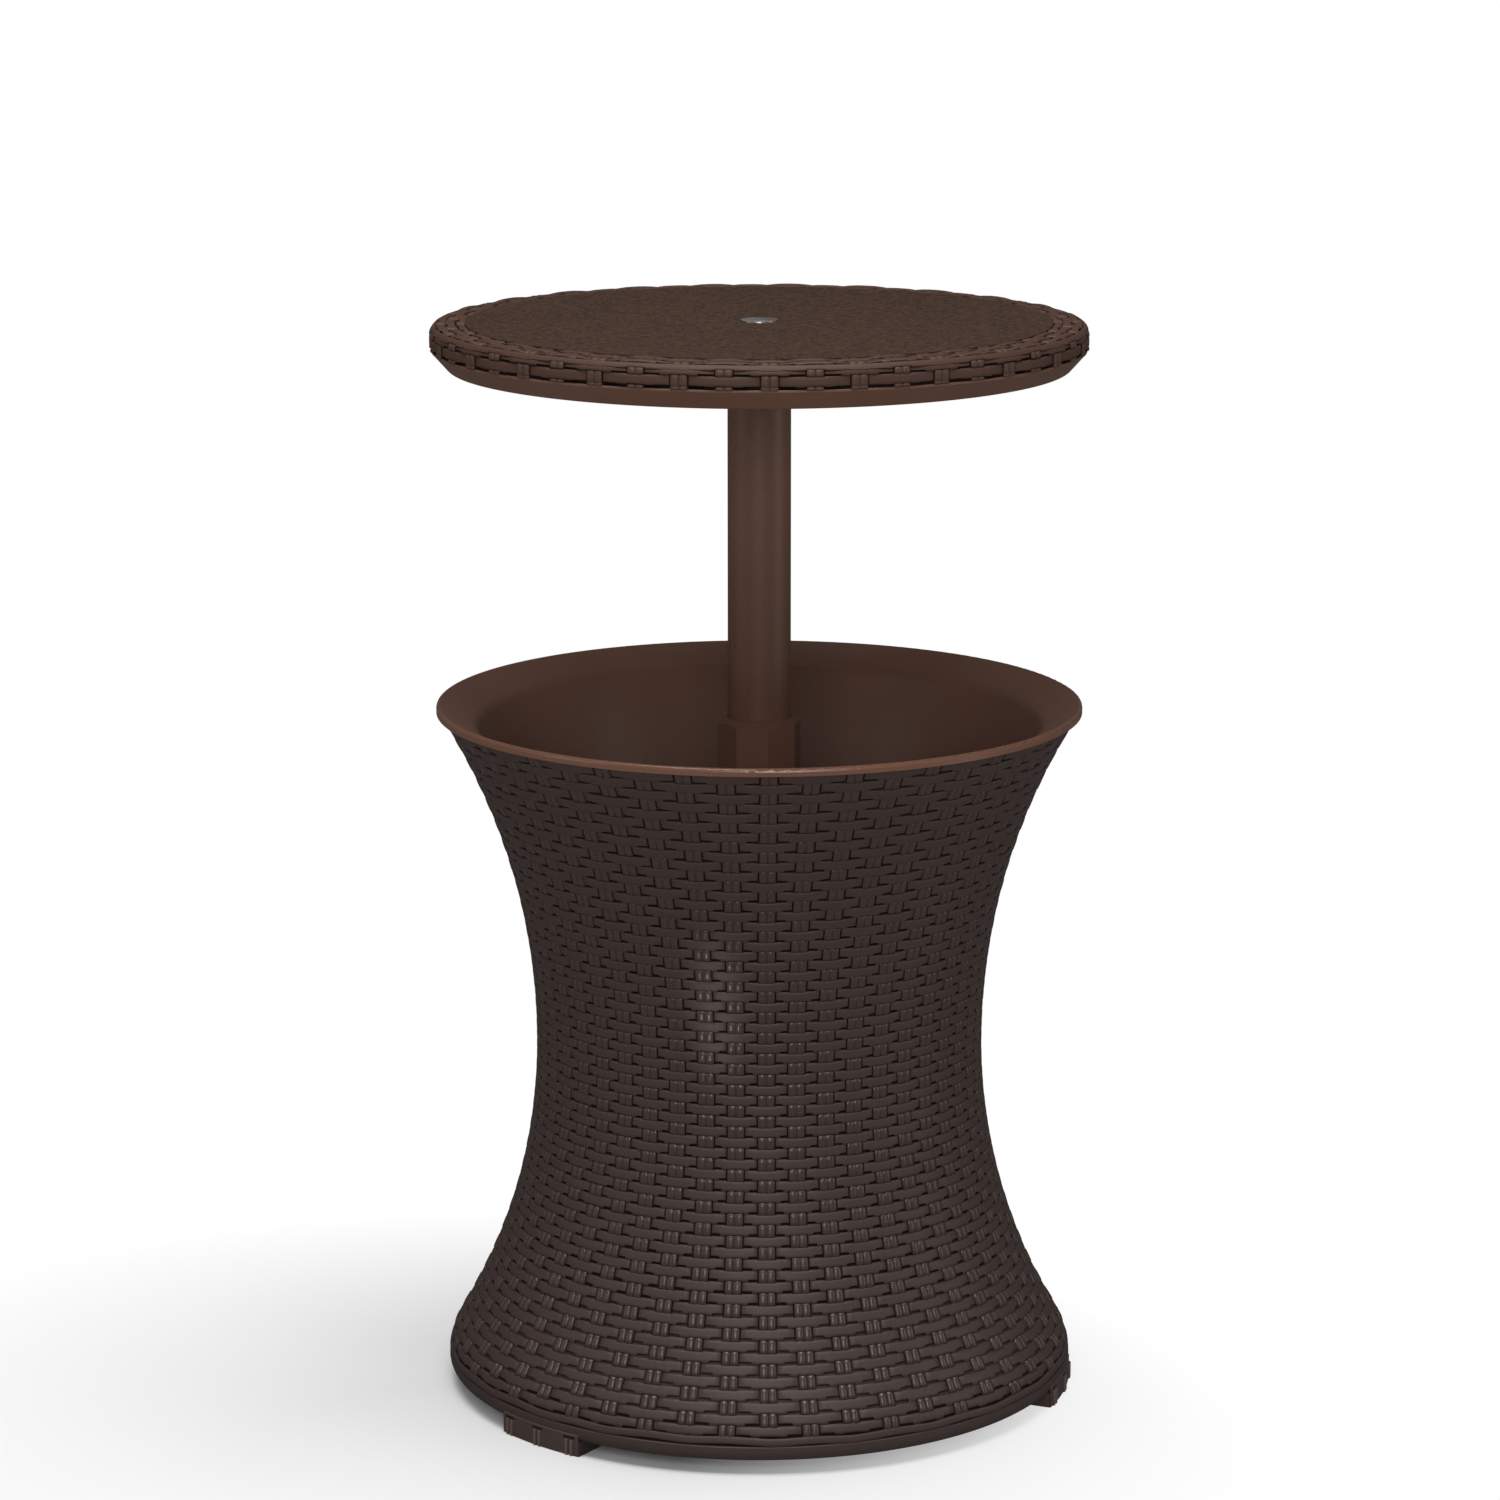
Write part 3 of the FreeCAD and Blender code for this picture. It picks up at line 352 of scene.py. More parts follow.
def metal_material(name, colour, roughness):
    """Brushed or plated metal, a little uneven."""
    nodes = Nodes(name, roughness)
    nodes.fill(nodes.shader, {"Metallic": 1.0})
    lines = nodes.noise(nodes.place((40, 40, 1500)), 1.0, detail=3, roughness=0.6)
    cloud = nodes.skin(60.0, detail=3, roughness=0.6)
    mixed = nodes.tones(cloud, colour, dark=0.9, light=1.05)
    rough = nodes.spread(lines, 0.3, 0.7, roughness - 0.06, roughness + 0.08)
    return nodes.shaded(mixed, rough, nodes.bump(lines, strength=0.15, distance=0.1 * MM))


def finish(name):
    """A material by its name, made once."""
    made = bpy.data.materials.get(FINISH + name)
    if made:
        return made
    colours = finishes()
    # Painted light: the feet and base plate take the body's brown 1.2 times lighter, as their faces lie
    # in low light under the skirt
    foot = scaled(colours.woven, 1.2)
    makers = {
        "woven_brown": lambda: woven_material(name, colours.woven),
        "border_brown": lambda: woven_material(name, colours.border, specular=0.18, stake_gloss=0.05),
        "foot_brown": lambda: woven_material(name, foot, 0.5, 0.2, RIB_HIGHLIGHT_TINT),
        "base_black": lambda: smooth_material(name, foot, roughness=0.5),
        "panel_brown": panel_material,
        "smooth_brown": lambda: smooth_material(name, colours.smooth),
        "rim_brown": lambda: smooth_material(name, colours.smooth, polished_from=RIM_EDGE),
        # Painted light: the pan, of the same plastic as the post, takes a darker copy of the smooth
        # brown, which is painted lighter for the post in the table top's shade
        "pan_brown": lambda: smooth_material(name, scaled(colours.smooth, 0.86)),
        "nylon": lambda: smooth_material(name, NYLON_WHITE, 0.38, grain_scale=400.0, grain=0.15),
        "seal_rubber": lambda: smooth_material(name, RUBBER_BLACK, 0.7, grain_scale=900.0, grain=0.4),
        "zinc_steel": lambda: metal_material(name, ZINC_GREY, 0.35),
        "cap_silver": lambda: metal_material(name, SILVER, 0.28),
    }
    return makers[name]()


# A material slot's finish has the slot's name, apart from this one; and one node has its own
SLOT_FINISH = {"woven_shell": "woven_brown"}
NODE_FINISH = {"tub": "rim_brown"}


# Shapes


def arc(first, last, radius, side, steps):
    """Points of an arc after first, up to last; its centre is on the left for side 1."""
    first, last = Vector(first), Vector(last)
    half = (last - first) / 2
    left = Vector((-half.y, half.x)).normalized()
    centre = first + half + left * side * math.sqrt(max(radius ** 2 - half.length ** 2, 0))
    start = first - centre
    turn = (last - centre).angle_signed(start)
    points = []
    for step in range(1, steps + 1):
        share = turn * step / steps
        spot = centre + Matrix.Rotation(share, 2) @ start
        points.append((spot.x, spot.y))
    return points


def turned(name, profile, steps, body, slot, nodes, look=None):
    """Turns a closed outline of (radius, height) in millimetres about the upright axis."""
    mesh = bmesh.new()
    chain = [mesh.verts.new((radius * MM, 0, height * MM)) for radius, height in profile]
    edges = [mesh.edges.new((chain[i], chain[(i + 1) % len(chain)])) for i in range(len(chain))]
    bmesh.ops.spin(
        mesh, geom=chain + edges, cent=(0, 0, 0), axis=(0, 0, 1), dvec=(0, 0, 0),
        angle=2 * math.pi, steps=steps, use_merge=True, use_duplicate=False,
    )
    close(mesh)
    return finished(name, mesh, body, slot, nodes, look=look)


def mesh_data(name, mesh):
    """Turns a bmesh into mesh data, and frees it."""
    data = bpy.data.meshes.new(name)
    mesh.to_mesh(data)
    mesh.free()
    return data


def scene_object(name, data):
    """Makes an object and links it into the scene."""
    made = bpy.data.objects.new(name, data)
    bpy.context.scene.collection.objects.link(made)
    return made


def close(mesh):
    """Merges doubled points and turns every face of a closed mesh outwards."""
    bmesh.ops.remove_doubles(mesh, verts=mesh.verts, dist=1e-7)
    bmesh.ops.recalc_face_normals(mesh, faces=mesh.faces)
    if mesh.calc_volume(signed=True) < 0:
        bmesh.ops.reverse_faces(mesh, faces=mesh.faces)


def finished(name, mesh, body, slot, nodes, smooth_angle=35, look=None):
    """Makes a bmesh a piece of the object: its shading, the finish of its slot, its body; hides the
    nodes it stands for.
    """
    data = mesh_data(name, mesh)
    piece = scene_object(name, data)
    data.materials.append(finish(look or SLOT_FINISH.get(slot, slot)))
    data.polygons.foreach_set("use_smooth", np.ones(len(data.polygons), bool))
    data.set_sharp_from_angle(angle=smooth_angle * DEGREE)
    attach(piece, body)
    if nodes:
        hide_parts(*nodes)
    return piece


def lay(name, spots, tags, body, slot, nodes, look=None):
    """Lays a grid as a closed band round the upright axis: spots is rung, column, xyz."""
    rungs, columns = spots.shape[:2]
    mesh = bmesh.new()
    bmesh.ops.create_grid(mesh, x_segments=columns, y_segments=rungs, size=1)
    data = mesh_data(name, mesh)
    place = np.zeros(len(data.vertices) * 3, np.float32)
    data.vertices.foreach_get("co", place)
    place = (place.reshape(-1, 3) + 1) / 2
    rung = np.rint(place[:, 1] * rungs).astype(int) % rungs
    column = np.rint(place[:, 0] * columns).astype(int) % columns
    data.vertices.foreach_set("co", spots[rung, column].astype(np.float32).ravel())
    for tag, values in tags.items():
        kind = "FLOAT_VECTOR" if values.ndim == 3 else "FLOAT"
        attribute = data.attributes.new(tag, kind, "POINT")
        key = "vector" if values.ndim == 3 else "value"
        attribute.data.foreach_set(key, values[rung, column].astype(np.float32).ravel())
    mesh = bmesh.new()
    mesh.from_mesh(data)
    bpy.data.meshes.remove(data)
    close(mesh)
    return finished(name, mesh, body, slot, nodes, smooth_angle=70, look=look)


class Track:
    """A meridian of the object: an open line of (radius, height), walked by its length or height."""

    def __init__(self, points, by_height=False):
        self.points = np.array(points, float)
        if by_height:
            self.along = self.points[:, 1]
        else:
            steps = np.linalg.norm(np.diff(self.points, axis=0), axis=1)
            self.along = np.concatenate([[0], np.cumsum(steps)])
        self.outward = self.outward_at_points()

    def outward_at_points(self):
        lines = np.gradient(self.points, axis=0)
        normals = np.stack([lines[:, 1], -lines[:, 0]], axis=1)
        return normals / np.linalg.norm(normals, axis=1, keepdims=True)

    def at(self, along, out):
        """Radius and height of a spot that lies out from the line."""
        found = []
        for axis in (0, 1):
            line = np.interp(along, self.along, self.points[:, axis])
            normal = np.interp(along, self.along, self.outward[:, axis])
            found.append(line + out * normal)
        return found

    def radius(self, along):
        return np.interp(along, self.along, self.points[:, 0])


def smooth_step(share):
    share = np.clip(share, 0, 1)
    return share * share * (3 - 2 * share)


class Row:
    """One woven row: where its middle lies along the track, half its height, and what it goes over.

    over is 0 or 1 for every other stake, EVERY, or BARE where only the stakes show.
    joined rows run into the row below with no crease, apart from the stakes that come out there.
    slot is how far its lower edge opens beside the stakes that it goes under, wave how much it
    wanders, sunk how much deeper its stakes lie, proud how far they stand above the rows, and
    relief how round the strands are.
    """

    def __init__(
        self, middle, half, over, joined=False, slot=1.5, wave=1.0, sunk=0.0, proud=0.0, relief=1.0
    ):
        self.middle, self.half, self.over, self.joined = middle, half, over, joined
        self.slot, self.wave, self.sunk, self.proud, self.relief = slot, wave, sunk, proud, relief


class Weave:
    """Flat rows woven over double stakes round the upright axis, laid on a track.

    Each column of points belongs to a stake or to the gap after it. Heights are 0 on the track
    and negative inside it, in millimetres.
    """

    # Depth of the gaps; how far a stake runs on under the rows above and below its window, and falls
    DEEP = 2.9
    OVERRUN, STAKE_FALL = 0.6, 0.6
    # Share of a gap where the slot beside a stake ends, and how much it narrows up to there
    SLOT_END = 0.62
    SLOT_TAPER = 0.15
    # Distance of a gap's outer columns from the stakes, and of its inner ones from the slots' ends
    NEAR, BESIDE = 0.95, 0.3
    # How much further out a row lies over the middle of a stake
    BULGE = 0.1
    # Up to SHUT wide, a seam is a crease, CREASE deep; over OPENING more it becomes a gap
    SHUT, OPENING = 0.5, 0.4
    CREASE = 0.4

    def __init__(self, track, seed, dive=0.6):
        self.track = track
        self.dive = dive
        self.random = np.random.default_rng(seed)
        self.stakes = sizes().stakes
        self.start = sizes().first_stake - math.pi / 2
        distances, drops = zip(*STRANDS)
        self.offsets = np.array([-distance for distance in reversed(distances[1:])] + list(distances))
        self.columns = self.stakes * PERIOD_COLUMNS
        self.number = np.arange(self.columns) // PERIOD_COLUMNS
        self.inside = np.arange(self.columns) % PERIOD_COLUMNS
        self.on_stake = self.inside < len(self.offsets)
        self.gap_place = np.where(self.on_stake, 0, self.inside - len(self.offsets))
        self.across = np.where(self.on_stake, self.inside, 0)
        both_sides = np.array(list(reversed(drops[1:])) + list(drops))
        self.strand = np.where(self.on_stake, both_sides[self.across], 0)

    def gap_distances(self, radius):
        """Width of the gap at a radius, and how far each of its columns is from its left stake."""
        width = 2 * math.pi * radius / self.stakes - 2 * self.offsets[-1]
        near, beside = self.NEAR, self.BESIDE
        first, second = (1 - self.SLOT_END) * width, self.SLOT_END * width
        inner = [first - beside, first + beside, second - beside, second + beside]
        return width, np.array([near, *inner, width - near])

    def angles(self, radius):
        """Angle of every column at a radius."""
        width, gap = self.gap_distances(radius)
        in_gap = self.offsets[-1] + gap[self.gap_place]
        local = np.where(self.on_stake, self.offsets[self.across], in_gap)
        return self.start + self.number * 2 * math.pi / self.stakes + local / radius

    def goes_over(self, row, number):
        if row.over == EVERY:
            return np.ones(self.columns, bool)
        if row.over == BARE:
            return np.zeros(self.columns, bool)
        return (number + row.over) % 2 == 0

    def lay_row(self, row):
        """Works out a row: its level and edges at each column, and where a stake covers it."""
        width, gap = self.gap_distances(self.track.radius(row.middle))
        left = self.goes_over(row, self.number)
        right = self.goes_over(row, self.number + 1)
        under = self.on_stake & ~left
        from_left = gap[self.gap_place]
        to_low = np.where(left & ~right, width - from_left, from_left)
        to_low = np.where(left & right, width, to_low)
        to_low = np.where(self.on_stake, width, to_low)
        sunk = 1 - smooth_step(to_low / width)
        slot_end = self.SLOT_END * width
        open_share = np.where(to_low < slot_end, 1 - self.SLOT_TAPER * to_low / slot_end, 0)
        bend = np.where(self.on_stake, (self.offsets[self.across] / self.offsets[-1]) ** 2, 1)
        level = -self.dive * sunk - self.BULGE * bend - row.proud
        if row.over == BARE:
            level = np.where(self.on_stake, level, -self.DEEP)
        wander, ripple = self.stray(row)
        level = np.minimum(level + ripple, 0)
        # Over a stake a row is narrower, so that the stake's ends show above and below it
        narrowed = np.where(self.on_stake & left & (row.over in (0, 1)), self.OVERRUN - 0.1, 0.0)
        low = row.half - row.slot * open_share - narrowed
        high = row.half - narrowed
        return {
            "row": row, "under": under, "level": level, "low": low, "high": high, "open": open_share > 0,
            "here": row.middle + wander,
            "top": np.where(under, -self.strand * row.relief - row.sunk - self.STAKE_FALL, level),
        }

    def stray(self, row):
        """How far a row strays along the track, and in height, at each column."""
        turn = self.angles(PLAIN_RADIUS)
        phase = self.random.uniform(0, 2 * math.pi, 3)
        slow, quick = 0.16 * np.sin(3 * turn + phase[0]), 0.12 * np.sin(8 * turn + phase[1])
        by_stakes = 0.3 * np.sin(self.stakes / 2 * turn + phase[2])
        ripple = 0.1 * np.sin(5 * turn + phase[2]) - 0.05
        return (slow + quick) * row.wave + by_stakes * (row.wave - 1), ripple

    def surface(self, rows, low_end, high_end):
        """The woven surface between two cuts, as arrays of rungs by columns.

        They give the place along the track, the height, the share of stake and the share of painted
        shade.
        """
        rungs = []
        before = None
        for row in rows:
            laid = self.lay_row(row)
            rungs += self.seam(before, laid, low_end)
            rungs += self.band(before, laid)
            before = laid
        tucked_in = np.full(self.columns, -1.6)
        # The tucked-in top edge gets half the painted shade
        rungs.append((np.full(self.columns, high_end), tucked_in, 0.0, 0.5))
        along = np.array([rung[0] for rung in rungs])
        height = np.maximum(np.array([rung[1] for rung in rungs]), -self.DEEP)
        stake, hollow = (
            np.array([np.broadcast_to(rung[place], self.columns) for rung in rungs]) for place in (2, 3)
        )
        return along, height, stake, hollow

    def smooth_seam(self, before, laid):
        """Columns where a joined row runs into the one below with no crease."""
        if before is None or not laid["row"].joined:
            return np.zeros(self.columns, bool)
        return ~before["under"] & ~laid["under"]

    def seam(self, before, laid, low_end):
        """Two rungs on the floor of the crease under a row."""
        row = laid["row"]
        floor_high = laid["here"] - np.where(laid["under"], row.half + self.OVERRUN, laid["low"])
        if before is None:
            floor_low = np.full(self.columns, float(low_end))
            sides = laid["top"]
        else:
            reach = np.where(before["under"], before["row"].half + self.OVERRUN, before["high"])
            floor_low = before["here"] + reach
            sides = np.minimum(before["top"], laid["top"])
        width = floor_high - floor_low
        least_shade = 0.2
        openness = smooth_step((width - self.SHUT) / self.OPENING)
        floor = (sides - self.CREASE) * (1 - openness) - self.DEEP * openness
        smooth = self.smooth_seam(before, laid)
        floor = np.where(smooth, laid["level"], floor)
        # Painted shade: full in an open gap, a little in a shut crease, none in a smooth seam
        hollow = np.where(smooth, 0.0, np.maximum(openness, least_shade))
        inset = np.clip(width * 0.25, 0.02, 0.12)
        stake = laid["under"] * 1.0
        return [(floor_low + inset, floor, stake, hollow), (floor_high - inset, floor, stake, hollow)]

    def band(self, before, laid):
        """Six rungs over a row, or over the stake that covers it."""
        row = laid["row"]
        joined = self.smooth_seam(before, laid)
        flat = min(1.5, 0.4 * row.half)
        stake_reach = row.half + self.OVERRUN
        edge, shoulder = 0.5 * row.relief, 0.1 * row.relief
        low_turn, high_turn = 0.45 * row.relief, 0.55 * row.relief
        # Up the row: (place of a row, its fall, place of a stake, its fall)
        rows = [
            (-laid["low"], edge, -stake_reach, 0.7),
            (low_turn - laid["low"], shoulder, -row.half, 0.1),
            (-flat, 0.0, -flat, 0.0),
            (flat, 0.0, flat, 0.0),
            (laid["high"] - high_turn, shoulder, row.half, 0.1),
            (laid["high"], edge, stake_reach, 0.7),
        ]
        sides = self.on_stake & np.isin(self.inside, (0, len(self.offsets) - 1))
        groove = self.on_stake & (self.inside == len(STRANDS) - 1)
        # Painted shade along the sides and groove of a stake that covers the row, and in a bare row's
        # gaps
        hollow = np.where(laid["under"] & sides, 1.0, np.where(laid["under"] & groove, 0.25, 0.0))
        if row.over == BARE:
            hollow = np.where(self.on_stake, hollow, 1.0)
        rungs = []
        for number, (place, fall, stake_place, stake_fall) in enumerate(rows):
            row_fall = np.where(joined & (number < 2), 0.0, fall)
            # Painted shade along a row's lower edge where a slot opens under it
            shade = np.where(laid["open"] & ~laid["under"] & (number == 0), 0.7, hollow)
            where = laid["here"] + np.where(laid["under"], stake_place, place)
            stakes = -self.strand * row.relief - row.sunk - stake_fall
            height = np.where(laid["under"], stakes, laid["level"] - row_fall)
            rungs.append((where, height, laid["under"] * 1.0, shade))
        return rungs


def woven_piece(name, weave, points, back, body, slot, nodes, look=None):
    """Lays a woven surface and closes it with a plain inner wall, given as (radius, height)."""
    along, height, stake, hollow = points
    radius, level = weave.track.at(along, height * sizes().relief)
    level = np.minimum(level, weave.track.points[:, 1].max())
    turn = np.stack([weave.angles(middle) for middle in weave.track.radius(along).mean(axis=1)])
    front = np.stack([radius * np.cos(turn), radius * np.sin(turn), level], axis=2) * MM
    around = turn[0]
    rings = [
        np.stack([r * np.cos(around), r * np.sin(around), np.full(weave.columns, z)], axis=1) * MM
        for r, z in back
    ]
    spots = np.concatenate([front, np.array(rings)], axis=0)
    # Where a point lies on the plain cylinder, for lines that follow the strands round
    place = np.stack([PLAIN_RADIUS * np.cos(turn), PLAIN_RADIUS * np.sin(turn), along], axis=2) * MM
    behind = len(back)
    tags = {
        "stake": np.concatenate([stake, np.zeros((behind, weave.columns))]),
        "hollow": np.concatenate([hollow, np.full((behind, weave.columns), WALL_SHADE)]),
        "weave_place": np.concatenate([place, np.repeat(place[-1:], behind, axis=0)]),
    }
    return lay(name, spots, tags, body, slot, nodes, look)


def shell_track():
    """The body's outer line, from the foot to the rim, by height."""
    base = (BASE_RADIUS, SHELL_LOW + BASE_ROUND)
    skirt = (SKIRT_RADIUS, SHELL_LOW + SKIRT_RISE)
    waist = (WAIST_RADIUS, SHELL_LOW + WAIST_RISE)
    top = (SHELL_TOP_RADIUS, SHELL_HIGH)
    points = [(BASE_RADIUS - BASE_ROUND / 2, SHELL_LOW)]
    points += arc(points[-1], base, BASE_ARC, 1, 5)
    points += arc(points[-1], skirt, SKIRT_ARC, 1, 8)
    points += arc(points[-1], waist, flare_radius(waist, skirt), -1, 60)
    points += arc(points[-1], top, flare_radius(waist, top), -1, 70)
    return Track(points, by_height=True)


def flare_radius(waist, end):
    """Radius of the arc that leaves the waist upright and ends at a point."""
    across, along = end[0] - waist[0], end[1] - waist[1]
    return (across ** 2 + along ** 2) / (2 * across)


class COOLER_OT_woven_body(bpy.types.Operator):
    """Makes the woven hourglass shell in six bands, and its plain skirt"""
    bl_idname = "cooler.woven_body"
    bl_label = "Woven body"
    bl_options = {"REGISTER", "UNDO"}

    # Pieces, rungs of points to a row, and the seed of the rows' small strays
    BANDS = 6
    RUNGS = 8
    SEED = 11
    # Half the seam between two rows, and how much higher and narrower the hem is than a row
    SEAM = 0.12
    HEM_UP, HEM_NARROWER = 1.1, 1.2
    # Depth of the weave's plain inner wall, its rings to a piece, and the skirt's edge under the hem
    WALL = 3.4
    WALL_RINGS = 6
    SKIRT_EDGE = 0.7
    SKIRT_STEPS = 288
    # Level up to which the strands grow flatter, and from which the stakes sink in, and its rise
    FLARE_HIGH = 230.0
    CHEST_LOW = 300.0
    CHEST_RISE = 150.0

    def execute(self, context):
        weave = Weave(shell_track(), self.SEED)
        pitch = sizes().row_pitch
        first = SHELL_LOW + sizes().first_row
        half = pitch / 2 - self.SEAM
        hem = Row(first - pitch + self.HEM_UP, half - self.HEM_NARROWER, EVERY, wave=3.0)
        rows = [hem] + [self.row(first + pitch * i, half, i % 2) for i in range(sizes().rows)]
        low_end = hem.middle - hem.half - self.SKIRT_EDGE
        points = weave.surface(rows, low_end, SHELL_HIGH)
        cuts = np.linspace(0, len(rows), self.BANDS + 1).astype(int)
        for band in range(self.BANDS):
            low, high = cuts[band] * self.RUNGS, cuts[band + 1] * self.RUNGS + 1
            part = [values[low:high] for values in points]
            heights = np.linspace(part[0][-1].mean(), part[0][0].mean(), self.WALL_RINGS)
            radii = weave.track.at(heights, -self.WALL)[0]
            back = list(zip(radii, heights))
            name = f"woven_body_{band + 1}"
            woven_piece(name, weave, part, back, "root", "woven_shell", ["body_shell"])
        self.make_skirt(weave.track, low_end)
        return {"FINISHED"}

    def row(self, middle, half, over):
        """A row of the body: rounder towards the foot, with its stakes sunk towards the rim."""
        lower = float(smooth_step((self.FLARE_HIGH - middle) / self.FLARE_HIGH))
        upper = float(smooth_step((middle - self.CHEST_LOW) / self.CHEST_RISE))
        return Row(middle, half, over, sunk=0.5 * upper, proud=0.7 * lower, relief=0.85 + 0.85 * lower)

    def make_skirt(self, track, top):
        """The plain skirt under the weave, with a rolled edge at its foot."""
        foot, inset = SHELL_LOW, 0.35
        edge = track.radius(top)
        profile = [(BASE_RADIUS - 5.0, foot), (BASE_RADIUS - 4.0, foot)]
        profile += [tuple(track.at(height, -inset)) for height in np.linspace(foot + 0.9, top - 1.0, 9)]
        profile += [(edge - 0.9, top - inset), (edge - 1.9, top - 0.1), (edge - self.WALL, top - 0.1)]
        profile += [(BASE_RADIUS - self.WALL, foot + BASE_ROUND), (BASE_RADIUS - 6.4, foot + 0.5)]
        profile = [(float(radius), float(height)) for radius, height in profile]
        turned("skirt", profile, self.SKIRT_STEPS, "root", "woven_shell", ["body_shell"])


class COOLER_OT_woven_border(bpy.types.Operator):
    """Makes the woven ring round the table top"""
    bl_idname = "cooler.woven_border"
    bl_label = "Woven border"
    bl_options = {"REGISTER", "UNDO"}

    SEED = 23
    # Radius of the round edge, thickness of the wall, and radii of two points on the flat top
    ROUND = 9.0
    WALL = 4.1
    FLAT = (233.0, 227.0)
    # Width of the ledge under the panel; below the top, its seat, its underside and the ceiling
    LEDGE = 6.0
    SEAT = 3.8
    LEDGE_UNDER = 7.0
    CEILING = 3.6

    def execute(self, context):
        low, high = BORDER_LOW, BORDER_HIGH
        flat = BORDER_RADIUS - self.ROUND
        points = [(BORDER_RADIUS, low), (BORDER_RADIUS, high - self.ROUND)]
        points += arc(points[-1], (flat, high), self.ROUND, 1, 12)
        points += [(radius, high) for radius in (*self.FLAT, PANEL_RADIUS)]
        weave = Weave(Track(points), self.SEED, dive=1.5)
        # From the lower edge up and round to the panel
        rows = [
            Row(0.85, 0.85, BARE),
            Row(5.85, 3.65, 1, slot=0.25),
            Row(12.2, 2.1, 0, slot=1.6),
            Row(17.1, 2.3, EVERY, joined=True),
            Row(23.7, 3.7, 1, slot=1.7, sunk=0.7),
            Row(31.7, 3.7, 0, slot=1.7, sunk=0.7),
            Row(39.3, 2.9, 1, slot=1.4, sunk=0.7, wave=2.2),
        ]
        woven = weave.surface(rows, 0.0, float(weave.track.along[-1]))
        woven_piece(
            "woven_border_ring", weave, woven, self.inner_wall(),
            "table", "woven_shell", ["woven_border"], "border_brown",
        )
        return {"FINISHED"}

    def inner_wall(self):
        """From the panel's edge round its ledge and down inside the border."""
        high, wall = BORDER_HIGH, BORDER_RADIUS - self.WALL
        seat, under, ceiling = high - self.SEAT, high - self.LEDGE_UNDER, high - self.CEILING
        ledge, outside = PANEL_RADIUS - self.LEDGE, PANEL_RADIUS + 3.2
        return [
            (PANEL_RADIUS, high - 1.8), (PANEL_RADIUS, seat), (ledge, seat), (ledge, under),
            (outside, under), (outside, ceiling), (BORDER_RADIUS - self.ROUND, ceiling),
            (wall, high - 8.5), (wall, BORDER_LOW),
        ]


class COOLER_OT_foot_faces(bpy.types.Operator):
    """Makes the ribbed outer faces of the three feet"""
    bl_idname = "cooler.foot_faces"
    bl_label = "Foot faces"
    bl_options = {"REGISTER", "UNDO"}

    FEET = 3
    # Radius of a face, half its width, and its depth
    FACE = 242.8
    HALF_WIDTH = 40.4
    DEPTH = 2.2
    # Angle from one pair of ribs to the next, and a rib's and a slit's distance from a pair's middle
    PAIR = 7.5 * DEGREE
    RIBS = 2.35
    SLIT = 5.3
    SLIT_DEPTH = 0.5
    # Rounding of a face's upright edges: (how far in, how far out)
    ROUND = (0.4, -0.5)
    # Across one rib: (distance from its middle, how far it stands out)
    RIB = [(-1.3, 0.0), (-0.95, 1.1), (0.0, 1.5), (0.95, 1.1), (1.3, 0.0)]
    # Up the face: (height, how far out, share of rib, share of slit)
    RUNGS = [
        (0.0, -0.5, 1, 0), (0.5, 0.0, 1, 0), (11.9, 0.0, 1, 0), (12.5, 0.0, 0, 0), (12.9, 0.0, 0, 0),
        (13.0, 0.0, 0, 1), (14.8, 0.0, 0, 1), (14.9, 0.0, 0, 0), (16.2, 0.0, 0, 0), (17.0, -0.8, 0, 0),
    ]

    def execute(self, context):
        for foot in range(self.FEET):
            self.make_face(foot)
        return {"FINISHED"}

    def across(self):
        """The columns of a face: (distance from its middle, how far out, share of slit)."""
        edge, (inset, back) = self.HALF_WIDTH, self.ROUND
        slit, slit_edge, pair = self.SLIT, self.SLIT + 0.2, self.PAIR * self.FACE
        columns = [(-edge, back, 0), (inset - edge, 0, 0)]
        for middle in (-pair, 0, pair):
            columns += [(middle - slit_edge, 0, 0), (middle - slit, 0, 1)]
            for side in (-self.RIBS, self.RIBS):
                columns += [(middle + side + place, proud, 1) for place, proud in self.RIB]
            columns += [(middle + slit, 0, 1), (middle + slit_edge, 0, 0)]
            if middle < pair:
                columns += [(middle + share * pair, 0, 0) for share in (0.4, 0.6)]
        return columns + [(edge - inset, 0, 0), (edge, back, 0)]

    def make_face(self, foot):
        columns = self.across()
        last_column, last_rung = len(columns) - 1, len(self.RUNGS) - 1
        middle = sizes().first_foot - math.pi / 2 + foot / self.FEET * 2 * math.pi
        mesh = bmesh.new()
        bmesh.ops.create_grid(mesh, x_segments=last_column, y_segments=last_rung, size=1)
        for tag in ("hollow", "stake"):
            mesh.verts.layers.float.new(tag)
        hollow, stake = (mesh.verts.layers.float[tag] for tag in ("hollow", "stake"))
        for vert in mesh.verts:
            place, proud, slit_here = columns[round((vert.co.x + 1) / 2 * last_column)]
            height, out, rib_share, slit_share = self.RUNGS[round((vert.co.y + 1) / 2 * last_rung)]
            slit = slit_here * slit_share
            radius = self.FACE + out + proud * (rib_share if proud > 0 else 1) - self.SLIT_DEPTH * slit
            turn = middle + place / self.FACE
            vert.co = Vector((radius * math.cos(turn), radius * math.sin(turn), height)) * MM
            # Painted shade in the slits above the ribs
            vert[hollow] = slit
            # Rib crowns count as stakes: glossier, and painted lighter as a painted highlight
            vert[stake] = rib_share if proud > 0.5 else 0
        mesh.normal_update()
        bmesh.ops.solidify(mesh, geom=mesh.faces[:], thickness=self.DEPTH * MM)
        close(mesh)
        finished(f"foot_face_{foot + 1}", mesh, "root", "base_black", [], look="foot_brown")


